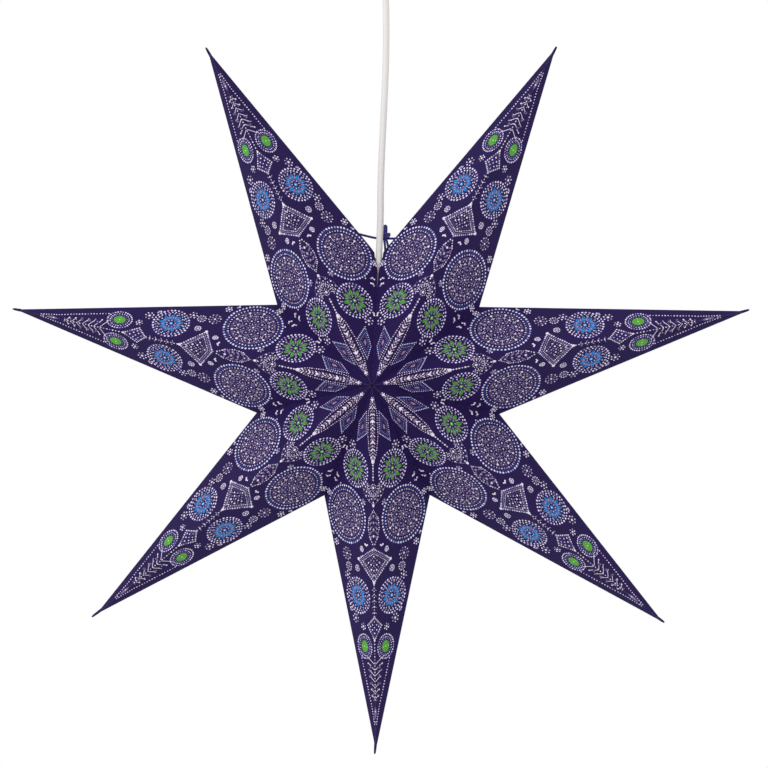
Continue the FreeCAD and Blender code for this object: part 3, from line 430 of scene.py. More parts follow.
def on_circle(middle, radius, count, turn=0.0, squash=1.0):
    """Places at even steps round a circle, from a share turn of one step, flattened by squash."""
    steps = [math.tau * (k + turn) / count for k in range(count)]
    return [(middle[0] + radius * math.cos(a), middle[1] + radius * squash * math.sin(a)) for a in steps]


def beside(middle, reach, degrees):
    """The place at a reach from a middle, in a direction."""
    a = math.radians(degrees)
    return (middle[0] + reach * math.cos(a), middle[1] + reach * math.sin(a))


def bead(ink, middle, width):
    """A round bead, a little uneven as if set by hand. A fifth of the pale ones print duller."""
    radius = width / 2 * hand.uniform(0.97, 1.3)
    turn = hand.random()
    s = middle[0] + hand.uniform(-0.12, 0.12)
    t = middle[1] + hand.uniform(-0.12, 0.12)
    if ink == PALE and hand.random() < 0.2:
        ink = PEARL
    corners = [turn + math.tau * k / 8 for k in range(8)]
    shape(ink, [(s + radius * math.cos(a), t + radius * math.sin(a)) for a in corners])


def leaf(ink, root, degrees, length, width):
    """A pointed leaf or petal that grows from its root."""
    way = (math.cos(math.radians(degrees)), math.sin(math.radians(degrees)))
    outline = []
    for share, half in ((0, 0), (0.3, 0.4), (0.62, 0.5), (0.88, 0.28), (1, 0), (0.88, -0.28),
                        (0.62, -0.5), (0.3, -0.4)):
        s = root[0] + way[0] * length * share - way[1] * width * half
        t = root[1] + way[1] * length * share + way[0] * width * half
        outline.append((s, t))
    shape(ink, outline)


def bar(ink, start, end, width):
    """A straight stroke."""
    along = (end[0] - start[0], end[1] - start[1])
    length = math.hypot(*along)
    s = -along[1] / length * width / 2
    t = along[0] / length * width / 2
    shape(ink, [(start[0] + s, start[1] + t), (start[0] - s, start[1] - t),
                (end[0] - s, end[1] - t), (end[0] + s, end[1] + t)])


def disc(ink, middle, radius, corners=28):
    shape(ink, on_circle(middle, radius, corners))


def bead_ring(ink, middle, radius, count, width, turn=0.0, squash=1.0):
    for place in on_circle(middle, radius, count, turn, squash):
        bead(ink, place, width)


def spokes(ink, middle, count, start, end, width, turn=0.0):
    for near, far in zip(on_circle(middle, start, count, turn), on_circle(middle, end, count, turn)):
        bar(ink, near, far, width)


def petal_ring(ink, middle, count, start, end, width, turn=0.0):
    for k in range(count):
        degrees = 360 * (k + turn) / count
        leaf(ink, beside(middle, start, degrees), degrees, end - start, width)


def bead_row(ink, route, spacing, width):
    """Beads at even steps along straight runs."""
    for start, end in zip(route, route[1:]):
        along = (end[0] - start[0], end[1] - start[1])
        count = max(1, round(math.hypot(*along) / spacing))
        for k in range(count):
            share = k / count
            bead(ink, (start[0] + along[0] * share, start[1] + along[1] * share), width)


def rosette(middle, size, ink, petals):
    """A bright flower in two rings of beads, with a net of pale dots between its petals."""
    disc(DUSK, middle, size * 1.06)
    bead_ring(PALE, middle, size * 0.96, round(size * 2.0), 1.45)
    bead_ring(PALE, middle, size * 0.82, round(size * 1.7), 1.15, 0.5)
    disc(INDIGO, middle, size * 0.74)
    spokes(MAUVE, middle, petals, size * 0.2, size * 0.7, 1.7, 0.5)
    petal_ring(ink, middle, petals, size * 0.22, size * 0.67, size * 0.2)
    spokes(INDIGO, middle, petals, size * 0.3, size * 0.64, 0.4)
    spokes(PEARL, middle, petals, size * 0.34, size * 0.54, 0.5, 0.5)
    bead_ring(BLUSH, middle, size * 0.64, petals, 1.5, 0.5)
    bead_ring(PALE, middle, size * 0.64, petals, 0.7, 0.5)
    bead_ring(PALE, middle, size * 0.72, petals * 2, 0.8, 0.25)
    bead_ring(PEARL, middle, size * 0.44, petals * 2, 0.75, 0.25)
    bead_ring(PALE, middle, size * 0.22, petals, 0.8)
    disc(ink, middle, size * 0.11, 10)
    bead(PALE, middle, 1.1)


def floret(middle, size, petals=7):
    """A ring of beads and a ring of smaller ones round a large one."""
    bead_ring(PALE, middle, size * 1.15, petals, 1.2)
    bead_ring(LILAC, middle, size * 0.62, petals, 0.7, 0.5)
    bead(PALE, middle, 1.8)


def trefoil(middle, degrees):
    """Three beads in a bunch."""
    for turn in (-60, 0, 60):
        bead(PALE, beside(middle, 1.7, degrees + turn), 1.5)


# About the peak: a plain ground, then ears of barley along the ridge between two kites.
bead_row(PALE, [(11, 0), (64, 0)], 2.6, 1.2)
for s in range(14, 62, 3):
    leaf(PALE if s % 2 else BLUSH, (s, 0.6), 40, 3.7, 1.1)
bead_row(PALE, [(10, 1.0), (24, 5.2), (42, 6.2), (57, 4.4), (66, 0.4)], 2.0, 0.9)
kite = [(23.0, 7.6), (33.0, 17.0), (50.0, 20.2), (41.5, 8.0)]
kite_middle = (37.0, 13.2)
shape(DUSK, shrunk(kite, kite_middle, 1.16))
bead_row(PALE, kite + kite[:1], 1.9, 0.85)
for share, ink in ((0.84, NAVY), (0.76, INDIGO), (0.5, MAUVE), (0.42, DUSK), (0.2, BLUSH)):
    shape(ink, shrunk(kite, kite_middle, share))
inner_kite = shrunk(kite, kite_middle, 0.64)
bead_row(PEARL, inner_kite + inner_kite[:1], 1.7, 0.6)
floret((54.5, 26.5), 3.0)
trefoil((59.5, 33.0), 80)

# The first rosette, and the fan of leaves between each pair.
rosette((74.0, 22.6), 16.2, GREEN, 8)
bead_row(PALE, [(67, 0), (82, 0)], 2.6, 1.4)
fan = (86, 0)
for degrees in (0, 24, 48, 72, 96):
    leaf(MAUVE, beside(fan, 3.4, degrees), degrees, 8.0, 2.4)
    bar(PALE, beside(fan, 4.6, degrees), beside(fan, 8.6, degrees), 0.45)
    bead(PALE, beside(fan, 12.4, degrees), 1.5)
    for ink, reach, width in ((PALE, 10.0, 1.2), (PALE, 7.4, 0.9), (INDIGO, 5.2, 1.3)):
        bead(ink, beside(fan, reach, degrees + 12), width)
bead_ring(PALE, fan, 2.8, 9, 0.9)
bead(PALE, fan, 2.4)
bead_row(PEARL, [(87, 14), (93, 11.5), (98.5, 6), (100.4, 0)], 1.9, 0.7)
floret((101.0, 13.0), 2.0, 6)
trefoil((92.0, 41.5), 60)
trefoil((84.0, 46.0), 60)
trefoil((88.5, 49.0), 30)

# The great wheel beside each notch: petals in three rounds, in two rings of beads and a navy band.
wheel = (116.0, 35.0)
disc(DUSK, wheel, 25.8, 40)
bead_ring(PALE, wheel, 24.2, 52, 1.5)
disc(NAVY, wheel, 22.6, 40)
disc(INDIGO, wheel, 21.9, 40)
bead_ring(PALE, wheel, 20.6, 48, 1.1, 0.5)
disc(MAUVE, wheel, 18.9, 40)
petal_ring(INDIGO, wheel, 9, 3.4, 18.4, 8.2)
petal_ring(MAUVE, wheel, 9, 5.4, 16.6, 4.4)
petal_ring(DUSK, wheel, 9, 7.4, 14.6, 2.6)
petal_ring(INDIGO, wheel, 9, 9.8, 18.4, 3.4, 0.5)
spokes(PEARL, wheel, 9, 8.2, 11.6, 0.5)
spokes(PALE, wheel, 9, 12.2, 16.0, 0.5, 0.5)
for turn in (0.1, 0.22, -0.22, -0.1):
    spokes(LILAC, wheel, 9, 16.6, 18.4, 0.5, turn)
for turn in (0.16, -0.16):
    for ink, radius, width, at in ((PALE, 15.6, 0.9, turn), (PEARL, 12.8, 0.8, turn * 1.25),
                                   (PEARL, 10.2, 0.8, turn * 1.4), (PALE, 13.8, 0.8, 0.5 + turn * 0.8),
                                   (PEARL, 10.8, 0.6, 0.5 + turn * 0.8)):
        bead_ring(ink, wheel, radius, 9, width, at)
for ink, radius, width, at in ((PALE, 17.4, 1.7, 0.5), (PALE, 17.3, 0.9, 0.0), (PALE, 7.8, 1.3, 0.5),
                               (PALE, 13.2, 1.5, 0.0), (PEARL, 5.6, 0.8, 0.0), (PALE, 4.0, 0.8, 0.5)):
    bead_ring(ink, wheel, radius, 9, width, at)
bead_ring(PEARL, wheel, 2.4, 6, 0.8)
bead(PALE, wheel, 1.4)
floret((102.0, 59.0), 2.0, 6)
floret((143.0, 49.5), 2.2, 6)
trefoil((137.0, 55.0), 200)

# The almond on the ridge between the wheels.
almond = [(105, 0), (113, 5.6), (121, 6.8), (129, 5.2), (136, 0)]
bead_row(PALE, almond, 2.1, 1.1)
bead_row(PALE, [(110, 0), (133, 0)], 5.5, 2.1)
for s in (111, 115, 119, 123, 127):
    leaf(LILAC, (s, 1.2), 55, 4.8, 1.6)
    bead(PALE, (s + 3.0, 4.2), 0.9)
trefoil((135.5, 9.6), 0)

# The lattice on the ridge, and the sprays at the edges.
lattice = [(138, 0), (151, 20), (167, 0)]
lattice_middle = (152, 0)
shape(DUSK, shrunk(lattice, lattice_middle, 1.1))
bead_row(PALE, lattice, 2.2, 1.2)
bead(PALE, lattice[1], 2.2)
for share, ink in ((0.865, PEARL), (0.84, INDIGO), (0.6, MAUVE), (0.53, INDIGO)):
    shape(ink, shrunk(lattice, lattice_middle, share))
bead_row(PALE, shrunk(lattice, lattice_middle, 0.72), 1.9, 0.95)
for s, t in ((144.5, 0), (148.5, 0), (148.5, 3.6), (151.5, 7.0), (152.5, 0), (152.5, 3.6), (156.5, 0),
             (156.5, 3.2), (160.5, 0)):
    bead(PALE, (s, t), 1.4)
    bead(PEARL, (s + 2, t + 1.6), 0.8)
for middle, size in (((150.0, 35.5), 5.0), ((160.5, 33.0), 3.4), ((159.5, 21.5), 2.4), ((141.5, 15.5), 2.0)):
    disc(MAUVE, middle, size, 12)
    petal_ring(INDIGO, middle, 6, 0.9, size, size * 0.3)
    bead_ring(PALE, middle, size, 10, 1.0, 0.5)
    bead_ring(PEARL, middle, size * 0.55, 6, 0.8, 0.5)
    bead(PALE, middle, 1.4)

# The second rosette and the small lozenge.
rosette((183.0, 21.0), 15.6, BLUE, 9)
bead_row(PALE, [(169, 0), (196, 0)], 2.6, 1.1)
for s in (173, 178, 183, 188, 193):
    bar(PEARL, (s, 0.8), (s + 1.4, 2.8), 0.5)
lozenge = [(197, 0), (206, 8.6), (217, 0)]
lozenge_middle = (206, 0)
shape(MAUVE, shrunk(lozenge, lozenge_middle, 0.9))
shape(DUSK, shrunk(lozenge, lozenge_middle, 0.74))
bead_row(PALE, lozenge, 2.0, 1.1)
for s, t in ((201.0, 0), (204, 2.6), (206, 0), (206, 5.0), (208.5, 2.6), (211.0, 0)):
    bead(PALE, (s, t), 1.1)
floret((203.5, 24.5), 3.0)
floret((208.5, 14.5), 2.2, 6)
floret((168.5, 35.0), 2.6, 6)
trefoil((196.5, 30.0), 40)

# The eye, then leafy twigs, and rows of beads that close at the tip.
eye = (225.5, 13.0)
shape(DUSK, on_circle(eye, 11.6, 24, 0.0, 0.9))
bead_ring(PALE, eye, 10.4, 29, 1.15, 0.0, 0.88)
bead_ring(PALE, eye, 8.0, 23, 0.9, 0.5, 0.86)
shape(GREEN, on_circle(eye, 5.2, 12, 0.0, 0.8))
bead_ring(PEARL, eye, 6.4, 16, 0.6, 0.0, 0.82)
bead(PALE, eye, 1.0)
for turn in (0.25, 0.75):
    bead(PALE, on_circle(eye, 3.0, 1, turn)[0], 0.7)
bead_row(PALE, [(218, 0), (272, 0)], 2.7, 1.15)
for s in (238, 243, 248, 253, 258, 263, 268):
    reach = (268 - s) * 0.2 + 3.0
    bar(PALE, (s, 0.8), (s - reach * 0.45, reach), 0.5)
    bead(PALE, (s - reach * 0.45, reach + 0.9), 1.2)
    bead(BLUSH, (s + 2.0, reach * 0.6), 1.0)
for s in (240, 247, 254):
    leaf(MAUVE, (s, 3.2), 50, 5.4, 2.2)
    bead(PEARL, (s + 2.2, 5.8), 0.8)
bead_row(PALE, [(237, 17.2), (274, 5.4)], 2.4, 1.0)
bead_row(PALE, [(274, 5.2), (293, 0.6)], 2.2, 0.95)
leaf(LILAC, (275, 0), 0, 11, 3.0)
bead(PALE, (279.5, 0), 1.2)
bead(PALE, (289, 0), 1.2)

# A few larger beads where the figures meet on the ridge.
for s, width in ((12, 2.4), (30, 2.6), (47, 2.2), (64, 3.0), (101, 2.4), (138, 2.2), (167, 2.6), (197, 2.4),
                 (217, 2.2)):
    bead(PALE, (s, 0), width)

# Each of the two top rays has a punched hole in its back panel beside the top notch, where a stopper
# knot of the tie string sits. An entry has the ray, which of its two seams it is beside, and x and z.
hole_radius = 1.4
hole_corners = 14
holes = [(right_ray, 0, (18.5, 118.0)), (left_ray, 1, (-22.9, 122.2))]


def ray_corners(number):
    """A ray's apex, its front and back peaks, and the notches before and after it."""
    apex = Vector((apexes[number][0], 0, apexes[number][1]))
    sides = [notches[number], notches[(number + 1) % ray_count]]
    around = [Vector((x, 0, z)) for x, z in sides]
    return apex, (Vector((0, -half_depth, 0)), Vector((0, half_depth, 0))), around


def on_panel(number, side, place):
    """Where a point in the star's plane lies on a ray's flat panel."""
    apex, _, around = ray_corners(number)
    seam = around[side]
    shares = np.linalg.solve([[apex.x, seam.x], [apex.z, seam.z]], place)
    return (shares[1] * seam_corner[0] + shares[0] * ridge_length, shares[1] * seam_corner[1])


def panel_edge_points():
    """Points round the panel's edge, closer along the seam, where the cable may bend it."""
    spacing = 4.5
    seam_spacing = 2.0
    corners = [(peak_relief, 0), (ridge_length, 0), seam_corner,
               (trim * seam_corner[0], trim * seam_corner[1])]
    edge = []
    for start, end in zip(corners, corners[1:] + corners[:1]):
        along = (end[0] - start[0], end[1] - start[1])
        count = max(1, round(math.hypot(*along) / (seam_spacing if start == seam_corner else spacing)))
        edge += [(start[0] + along[0] * k / count, start[1] + along[1] * k / count) for k in range(count)]
    return edge


def cut_panel(outlines):
    """Triangles of the panel that keep to the outlines, each with the outlines that it lies in. Loose
    points between the outlines keep the triangles small enough to bow."""
    inset = 4
    along = 9
    across = 8
    seam_margin = 3
    edge_margin = 8
    near_corners = (2.5, 4, 6, 8, 10, 12, 15, 18)
    loose = []
    for row in range(int(seam_corner[1] // across)):
        t = inset + across * row
        low = t * seam_corner[0] / seam_corner[1] + seam_margin
        high = ridge_length - t * (ridge_length - seam_corner[0]) / seam_corner[1] - edge_margin
        for column in range(int(ridge_length // along)):
            s = inset + along * (column + row % 2 / 2)
            if low < s < high:
                loose.append((s, t))
    peak_half = math.atan2(seam_corner[1], seam_corner[0]) / 2
    tip_half = math.atan2(seam_corner[1], ridge_length - seam_corner[0]) / 2
    for far in near_corners:
        loose.append((far, far * math.tan(peak_half)))
        loose.append((ridge_length - far, far * math.tan(tip_half)))
    points = [Vector(p) for outline in outlines for p in outline] + [Vector(p) for p in loose]
    rings = []
    first = 0
    for outline in outlines:
        rings.append(list(range(first, first + len(outline))))
        first += len(outline)
    inside_only = 1
    same_point = 1e-4
    places, _, triangles, _, _, owners = delaunay_2d_cdt(points, [], rings, inside_only, same_point)
    kept = [(triangle, sorted(owner)) for triangle, owner in zip(triangles, owners) if 0 in owner]
    return np.array([list(p) for p in places]), [k[0] for k in kept], [k[1] for k in kept]


# The front sheet is cut along all the print's outlines, and the inner one only along its edge and
# the holes. A triangle's ink is that of the last mark that it lies in.
panel_edge = panel_edge_points()
hole_outlines = [on_circle(on_panel(number, side, place), hole_radius, hole_corners)
                 for number, side, place in holes]
printed = cut_panel([panel_edge] + [outline for _, outline in marks] + hole_outlines)
plain = cut_panel([panel_edge] + hole_outlines)
ink_of_outline = [INDIGO] + [ink for ink, _ in marks]


def printed_card(name, hex_colour, fibre=0.05, roughness=0.6):
    """Ink on uncoated card: cloudy by the share fibre, with a fine tooth, and rubbed thin along the
    folds. Real fibres are too fine to show, so they are drawn 0.7 mm wide."""
    material, tree, shader = start_material(name)
    place = on_surface(tree)
    clouds = add_node(tree, "ShaderNodeTexNoise",
                      {"Scale": 1 / (14 * mm), "Detail": 4.0, "Roughness": 0.6}, place)
    fibres = add_node(tree, "ShaderNodeTexNoise",
                      {"Scale": 1 / (0.7 * mm), "Detail": 3.0, "Roughness": 0.7}, place)
    both = add_node(tree, "ShaderNodeMix", {"data_type": "FLOAT", 0: 0.45},
                    {2: clouds.outputs["Fac"], 3: fibres.outputs["Fac"]})
    shade = add_node(tree, "ShaderNodeMapRange",
                     {"From Min": 0.3, "From Max": 0.7, "To Min": 1 - 2 * fibre, "To Max": 1 + 2 * fibre},
                     {"Value": both.outputs[0]})
    ink = add_node(tree, "ShaderNodeVectorMath", {"operation": "SCALE", 0: linear(hex_colour)[:3]},
                   {"Scale": shade.outputs["Result"]})
    fold = add_node(tree, "ShaderNodeAttribute", {"attribute_name": "from_fold"})
    near = add_node(tree, "ShaderNodeMapRange",
                    {"From Min": 0.0, "From Max": 0.3, "To Min": 1.0, "To Max": 0.0},
                    {"Value": fold.outputs["Fac"]})
    patchy = add_node(tree, "ShaderNodeMapRange",
                      {"From Min": 0.45, "From Max": 0.65, "To Min": 0.0, "To Max": 0.28},
                      {"Value": fibres.outputs["Fac"]})
    rubbed = add_node(tree, "ShaderNodeMath", {"operation": "MULTIPLY"},
                      {0: near.outputs["Result"], 1: patchy.outputs["Result"]})
    colour = add_node(tree, "ShaderNodeMix", {"data_type": "RGBA", 7: linear("#cfc8d4")},
                      {0: rubbed.outputs[0], 6: ink.outputs["Vector"]})
    tooth = add_node(tree, "ShaderNodeBump", {"Strength": 0.35, "Distance": 0.05 * mm},
                     {"Height": fibres.outputs["Fac"]})
    set_up(tree, shader, {"Roughness": roughness, "Specular IOR Level": 0.12},
           {"Base Color": colour.outputs[2], "Normal": tooth.outputs["Normal"]})
    return material


# Offset ink sinks into uncoated card and dries flat: deep, even colours without a shine, a little
# cloudy, and paler where a fold is rubbed. The card's bare inner side is a warmer, duller white.
inks = [
    printed_card("indigo_ink_on_card", "#23134b"),
    printed_card("pale_ink_on_card", "#f3e9fc", 0.03),
    printed_card("lilac_ink_on_card", "#7d6a98"),
    printed_card("green_ink_on_card", "#5aa63a"),
    printed_card("blue_ink_on_card", "#2f86d8"),
    printed_card("navy_ink_on_card", "#28408c"),
    printed_card("blush_ink_on_card", "#a8879f"),
    printed_card("pearl_ink_on_card", "#b5a7cb"),
    printed_card("mauve_ink_on_card", "#4c3b69"),
    printed_card("dusk_ink_on_card", "#281c5e"),
    printed_card("bare_white_card", "#ece8e0", 0.02, 0.8),
]

# The cable spreads the untied top seam: half widths of the gap by distance from the star's plane.
# Only card that is this high over the star's middle is moved.
spread_table = ((0, 3.2), (0.8, 2.9), (1.6, 2.5), (2.4, 1.95), (3.2, 1.6), (5.2, 1.4), (6.7, 0.8),
                (8.6, 0.5), (10.4, 0.5), (16.7, 0.25), (20.0, 0.0))
spread_above = 60
spread_roundness = 5
# The top seam's flanges are cut short round the cord grip: this near the star's plane they end at
# this height.
grip_gap_half = 7
grip_gap_low = 82.1
# A panel's middle stands out of its plane, or in, by up to this height.
bow_height = 0.8
# The wear at the folds is drawn only on the printed faces. All else counts as this far from a fold.
far_from_folds = 9.0
# In a ray's UV square each printed panel has a strip. The fifth holds the inner faces, which are all
# plain white, and at its rim the flanges, the lap and the tail.
strips = 5


def bowed(number, side, panel_places, lift):
    """Points of a flat panel as they stand in the star, with its middle lifted a little. Sides 0 and 1
    are in front, before and after the ridge, and 2 and 3 at the back. It also gives the panel's
    distance from the star's middle, and whether its triangles face outwards as they were cut."""
    apex, peaks, around = ray_corners(number)
    peak = peaks[side // 2]
    seam = around[side % 2]
    v = panel_places[:, 1] / seam_corner[1]
    u = (panel_places[:, 0] - v * seam_corner[0]) / ridge_length
    w = 1 - u - v
    places = np.outer(u, apex) + np.outer(v, seam) + np.outer(w, peak)
    out = (apex - peak).cross(seam - peak).normalized()
    if out.dot(apex) < 0:
        out = -out
    depth = abs(out.dot(apex))
    # At the panel's middle the three shares' product is 1/27.
    places += np.outer(27 * u * v * w * lift, out)
    return places, depth, (apex - peak).cross(seam - peak).dot(out) > 0


def fold_distance(panel_places):
    """Distance of flat panel points from the nearest fold, in millimetres."""
    s, t = panel_places[:, 0], panel_places[:, 1]
    seam_way = np.array(seam_corner) / seam_length
    edge_way = np.array([ridge_length - seam_corner[0], -seam_corner[1]])
    edge_way = edge_way / np.hypot(*edge_way)
    from_seam = s * seam_way[1] - t * seam_way[0]
    from_edge = np.abs((s - ridge_length) * edge_way[1] - t * edge_way[0])
    return np.minimum(np.minimum(np.abs(from_seam), from_edge), t)


def spread(places, number):
    """Move a top ray's card aside where the cable holds the seam open."""
    side = {right_ray: 1, left_ray: -1}.get(number)
    if side is None:
        return places
    across = np.maximum(places[:, 0] * side, 0)
    width = np.interp(np.abs(places[:, 1]), *zip(*spread_table)) * (places[:, 2] > spread_above)
    places[:, 0] = side * (across ** spread_roundness + width ** spread_roundness) ** (1 / spread_roundness)
    return places


def ray_panel(number, side, lift, inner):
    """One of a ray's four panels: its printed face, or the white face inside, a card's thickness in."""
    flat, triangles, outlines = plain if inner else printed
    places, depth, forward = bowed(number, side, flat, lift)
    if inner:
        places = places * (1 - card / depth)
    last_mark = 0 if inner else len(marks)
    punched = [last_mark + 1 + k for k, (ray, seam, _) in enumerate(holes)
               if (ray, 2 + seam) == (number, side)]
    cells = []
    colours = []
    for triangle, owner in zip(triangles, outlines):
        if any(hole in owner for hole in punched):
            continue
        cells.append(triangle if forward != inner else triangle[::-1])
        top = max(k for k in owner if k <= last_mark)
        colours.append(BARE if inner else ink_of_outline[top])
    strip = 4 if inner else side
    uv = [(0.01 + 0.97 * s / ridge_length, (strip + 0.04 + 0.9 * t / seam_corner[1]) / strips)
          for s, t in flat]
    folds = [far_from_folds] * len(flat) if inner else fold_distance(flat)
    return spread(places, number), cells, colours, uv, folds


def ray_flange(number, edge, rows=6, spacing=2.0):
    """The flange along one of a ray's seams, front and back in one strip. It stands inward, and the
    neighbour's is glued to it."""
    apex, peaks, around = ray_corners(number)
    seam = around[edge]
    plane = seam.cross(Vector((0, 1, 0))).normalized()
    if plane.dot(apex) < 0:
        plane = -plane
    steps = max(2, round(seam_length * (1 - trim) / spacing))
    reach = flange_width / (seam.length * half_depth / math.hypot(seam.length, half_depth))
    line = [peaks[0].lerp(seam, trim + (1 - trim) * k / steps) for k in range(steps)]
    line += [seam.copy()] + [Vector((p.x, -p.y, p.z)) for p in line[::-1]]
    strip = [p * (1 - reach * (row / (rows - 1))) for row in range(rows) for p in line]
    if (number, edge) in ((right_ray, 0), (left_ray, 1)):
        for p in strip:
            if abs(p.y) < grip_gap_half:
                p.z = max(p.z, grip_gap_low)
    face = spread(np.array([list(p) for p in strip]), number)
    both = np.concatenate([face, face + np.array(plane) * card])
    count = len(line)
    behind = len(strip)
    cells = []
    for row in range(rows - 1):
        for k in range(count - 1):
            a = row * count + k
            b = a + behind
            cells.append((a, a + 1, a + count + 1, a + count))
            cells.append((b, b + count, b + count + 1, b + 1))
    for a in range(behind - count, behind - 1):
        cells.append((a, a + 1, a + 1 + behind, a + behind))
    if edge:
        cells = [cell[::-1] for cell in cells]
    uv = [(0.02 + 0.9 * (i % count) / count, 0.97 + 0.02 * (i // count % rows) / rows)
          for i in range(len(both))]
    return both, cells, BARE, uv


def ray_lap(number, lift, rows=3, columns=40):
    """The lap that closes the sheet, glued inside the back ridge to the panel that it follows."""
    from_peak = 14
    from_tip = 12
    taper = 24
    off_ridge = 0.3
    width = 8.0
    flat = []
    for row in range(rows):
        start = from_peak + row
        end = ridge_length - from_tip - taper * row
        flat += [(start + (end - start) * k / columns, off_ridge + width * row / (rows - 1))
                 for k in range(columns + 1)]
    places, depth, forward = bowed(number, 2, np.array(flat), lift)
    # Its two faces lie one and two cards in, with a little glue between.
    layers = np.concatenate([places * (1 - cards * card / depth) for cards in (1.1, 2.1)])
    count = len(flat)
    line = columns + 1
    cells = []
    for a in range(count - line):
        if a % line < columns:
            b = a + line
            cells.append((a, a + 1, b + 1, b))
            cells.append((a + count, b + count, b + 1 + count, a + 1 + count))
    rim = list(range(line)) + [row * line + columns for row in range(1, rows)]
    rim += [(rows - 1) * line + k for k in range(columns - 1, -1, -1)]
    rim += [row * line for row in range(rows - 2, 0, -1)]
    cells += [(b, a, a + count, b + count) for a, b in zip(rim, rim[1:] + rim[:1])]
    if not forward:
        cells = [cell[::-1] for cell in cells]
    return layers, cells, BARE, [(0.93, 0.99)] * len(layers)


def ray_tail(number, length=13, corners=10, pleats=5):
    """The tip, pinched and rolled between the fingers to a tail that leans to one side."""
    apex, _, _ = ray_corners(number)
    way = apex.normalized()
    side_way = Vector((way.z, 0, -way.x))
    root = apex - way * length
    end = Vector((tail_ends[number][0], 0, tail_ends[number][1]))
    reach = (end - root).dot(way)
    lean = (end - root).dot(side_way)
    # Share of the tail's length, half its width and half its thickness.
    stations = ((0, 0.9, 0.7), (0.3, 1.1, 0.9), (0.5, 1.15, 0.85), (0.66, 1.1, 0.75), (0.8, 1.0, 0.6),
                (0.92, 0.85, 0.5), (1, 0.55, 0.35))
    pleat_depth = 0.1
    twist = 0.5
    rings = []
    for share, half_width, half_thick in stations:
        middle = root + way * reach * share + side_way * lean * share ** 2
        turn = twist * lean * share
        for k in range(corners):
            angle = math.tau * k / corners
            pleat = 1 + pleat_depth * math.cos(pleats * angle)
            x = math.cos(angle) * half_width * pleat
            y = math.sin(angle) * half_thick * pleat
            rings.append(middle + side_way * (x * math.cos(turn) - y * math.sin(turn))
                         + Vector((0, 1, 0)) * (x * math.sin(turn) + y * math.cos(turn)))
    cells = []
    for first in range(0, len(rings) - corners, corners):
        for k in range(corners):
            n = (k + 1) % corners
            cells.append((first + k, first + n, first + corners + n, first + corners + k))
    cells.append(tuple(range(len(rings) - corners, len(rings))))
    uv = [(0.94 + 0.05 * (i // corners) / len(stations), 0.82 + 0.1 * (i % corners) / corners)
          for i in range(len(rings))]
    return np.array([list(p) for p in rings]), cells, INDIGO, uv


def folded_ray(number):
    """One folded card: four printed panels with their white inner side, two flanges, lap and tail."""
    draw = random.Random(40 + number)
    lifts = [draw.uniform(-bow_height, bow_height) for _ in range(4)]
    sheets = [ray_panel(number, side, lift, inner)
              for side, lift in enumerate(lifts) for inner in (False, True)]
    for places, cells, ink, uv in (ray_flange(number, 0), ray_flange(number, 1),
                                   ray_lap(number, lifts[2]), ray_tail(number)):
        sheets.append((places, cells, [ink] * len(cells), uv, [far_from_folds] * len(places)))
    verts, faces, colours, uvs, folds = [], [], [], [], []
    for places, cells, cell_inks, uv, from_fold in sheets:
        faces += [[len(verts) + k for k in cell] for cell in cells]
        verts.extend(places)
        colours += cell_inks
        uvs += [uv[k] for cell in cells for k in cell]
        folds.extend(from_fold)
    return verts, faces, colours, uvs, folds


star_z = star_middle.z / mm
weld_distance = 0.01 * mm
fold_angle = math.radians(20)
for number in range(ray_count):
    verts, faces, colours, uvs, folds = folded_ray(number)
    places = [(x * mm, y * mm, (z + star_z) * mm) for x, y, z in verts]
    ray = add_piece(f"folded_ray_{number + 1}", places, faces, inks)
    ray.data.polygons.foreach_set("material_index", colours)
    layer = ray.data.uv_layers.new(name="OFBake")
    layer.data.foreach_set("uv", [value for pair in uvs for value in pair])
    fold = ray.data.attributes.new("from_fold", "FLOAT", "POINT")
    fold.data.foreach_set("value", folds)
    form = bmesh.new()
    form.from_mesh(ray.data)
    bmesh.ops.remove_doubles(form, verts=form.verts, dist=weld_distance)
    form.to_mesh(ray.data)
    form.free()
    ray.data.set_sharp_from_angle(angle=fold_angle)
    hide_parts(f"ray_{number + 1}")
    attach(ray, "star")


# The cotton strings: dark blue, three plies, tied by hand. One runs from a stopper knot inside the
# left top ray, behind the cable, twice round the loop beside it and on to a knot in the right ray.
string_width = 2.0
seam_tie_width = 1.2
string_lay = 5.0
plies = 3
groove_depth = 0.2
knot_swell = 1.1
knot_reach = 1.3
string_corners = 18
string_step = 0.3
route_step = 0.5


def cotton_string(name, hex_colour):
    """Twisted cotton, with painted shade that darkens it in the grooves between the plies, and a tone
    that varies with its fibres. Its fibres are too fine to show, so they are drawn 0.25 mm wide."""
    material, tree, shader = start_material(name)
    fibres = add_node(tree, "ShaderNodeTexNoise",
                      {"Scale": 1 / (0.25 * mm), "Detail": 3.0, "Roughness": 0.7}, on_surface(tree))
    # Painted shade: the attribute read here is 0 in the grooves between the plies and takes the colour there
    # down to 0.4 of the dye.
    groove_shade = add_node(tree, "ShaderNodeAttribute", {"attribute_name": "groove_shade"})
    both = add_node(tree, "ShaderNodeMath", {"operation": "MULTIPLY"},
                    {0: fibres.outputs["Fac"], 1: groove_shade.outputs["Fac"]})
    tint = add_node(tree, "ShaderNodeValToRGB", None, {"Fac": both.outputs[0]})
    base = linear(hex_colour)
    tint.color_ramp.elements[0].color = [c * 0.4 for c in base[:3]] + [1]
    tint.color_ramp.elements[1].position = 0.4
    tint.color_ramp.elements[1].color = base
    fuzz = add_node(tree, "ShaderNodeBump", {"Strength": 0.6, "Distance": 0.08 * mm},
                    {"Height": fibres.outputs["Fac"]})
    set_up(tree, shader,
           {"Roughness": 0.9, "Sheen Weight": 0.25, "Sheen Roughness": 0.5, "Specular IOR Level": 0.2},
           {"Base Color": tint.outputs["Color"], "Normal": fuzz.outputs["Normal"]})
    return material


# Dyed and twisted cotton: a deep blue without gloss, soft at its edges from a faint fuzz.
blue_cotton = cotton_string("dark_blue_cotton", "#403c86")


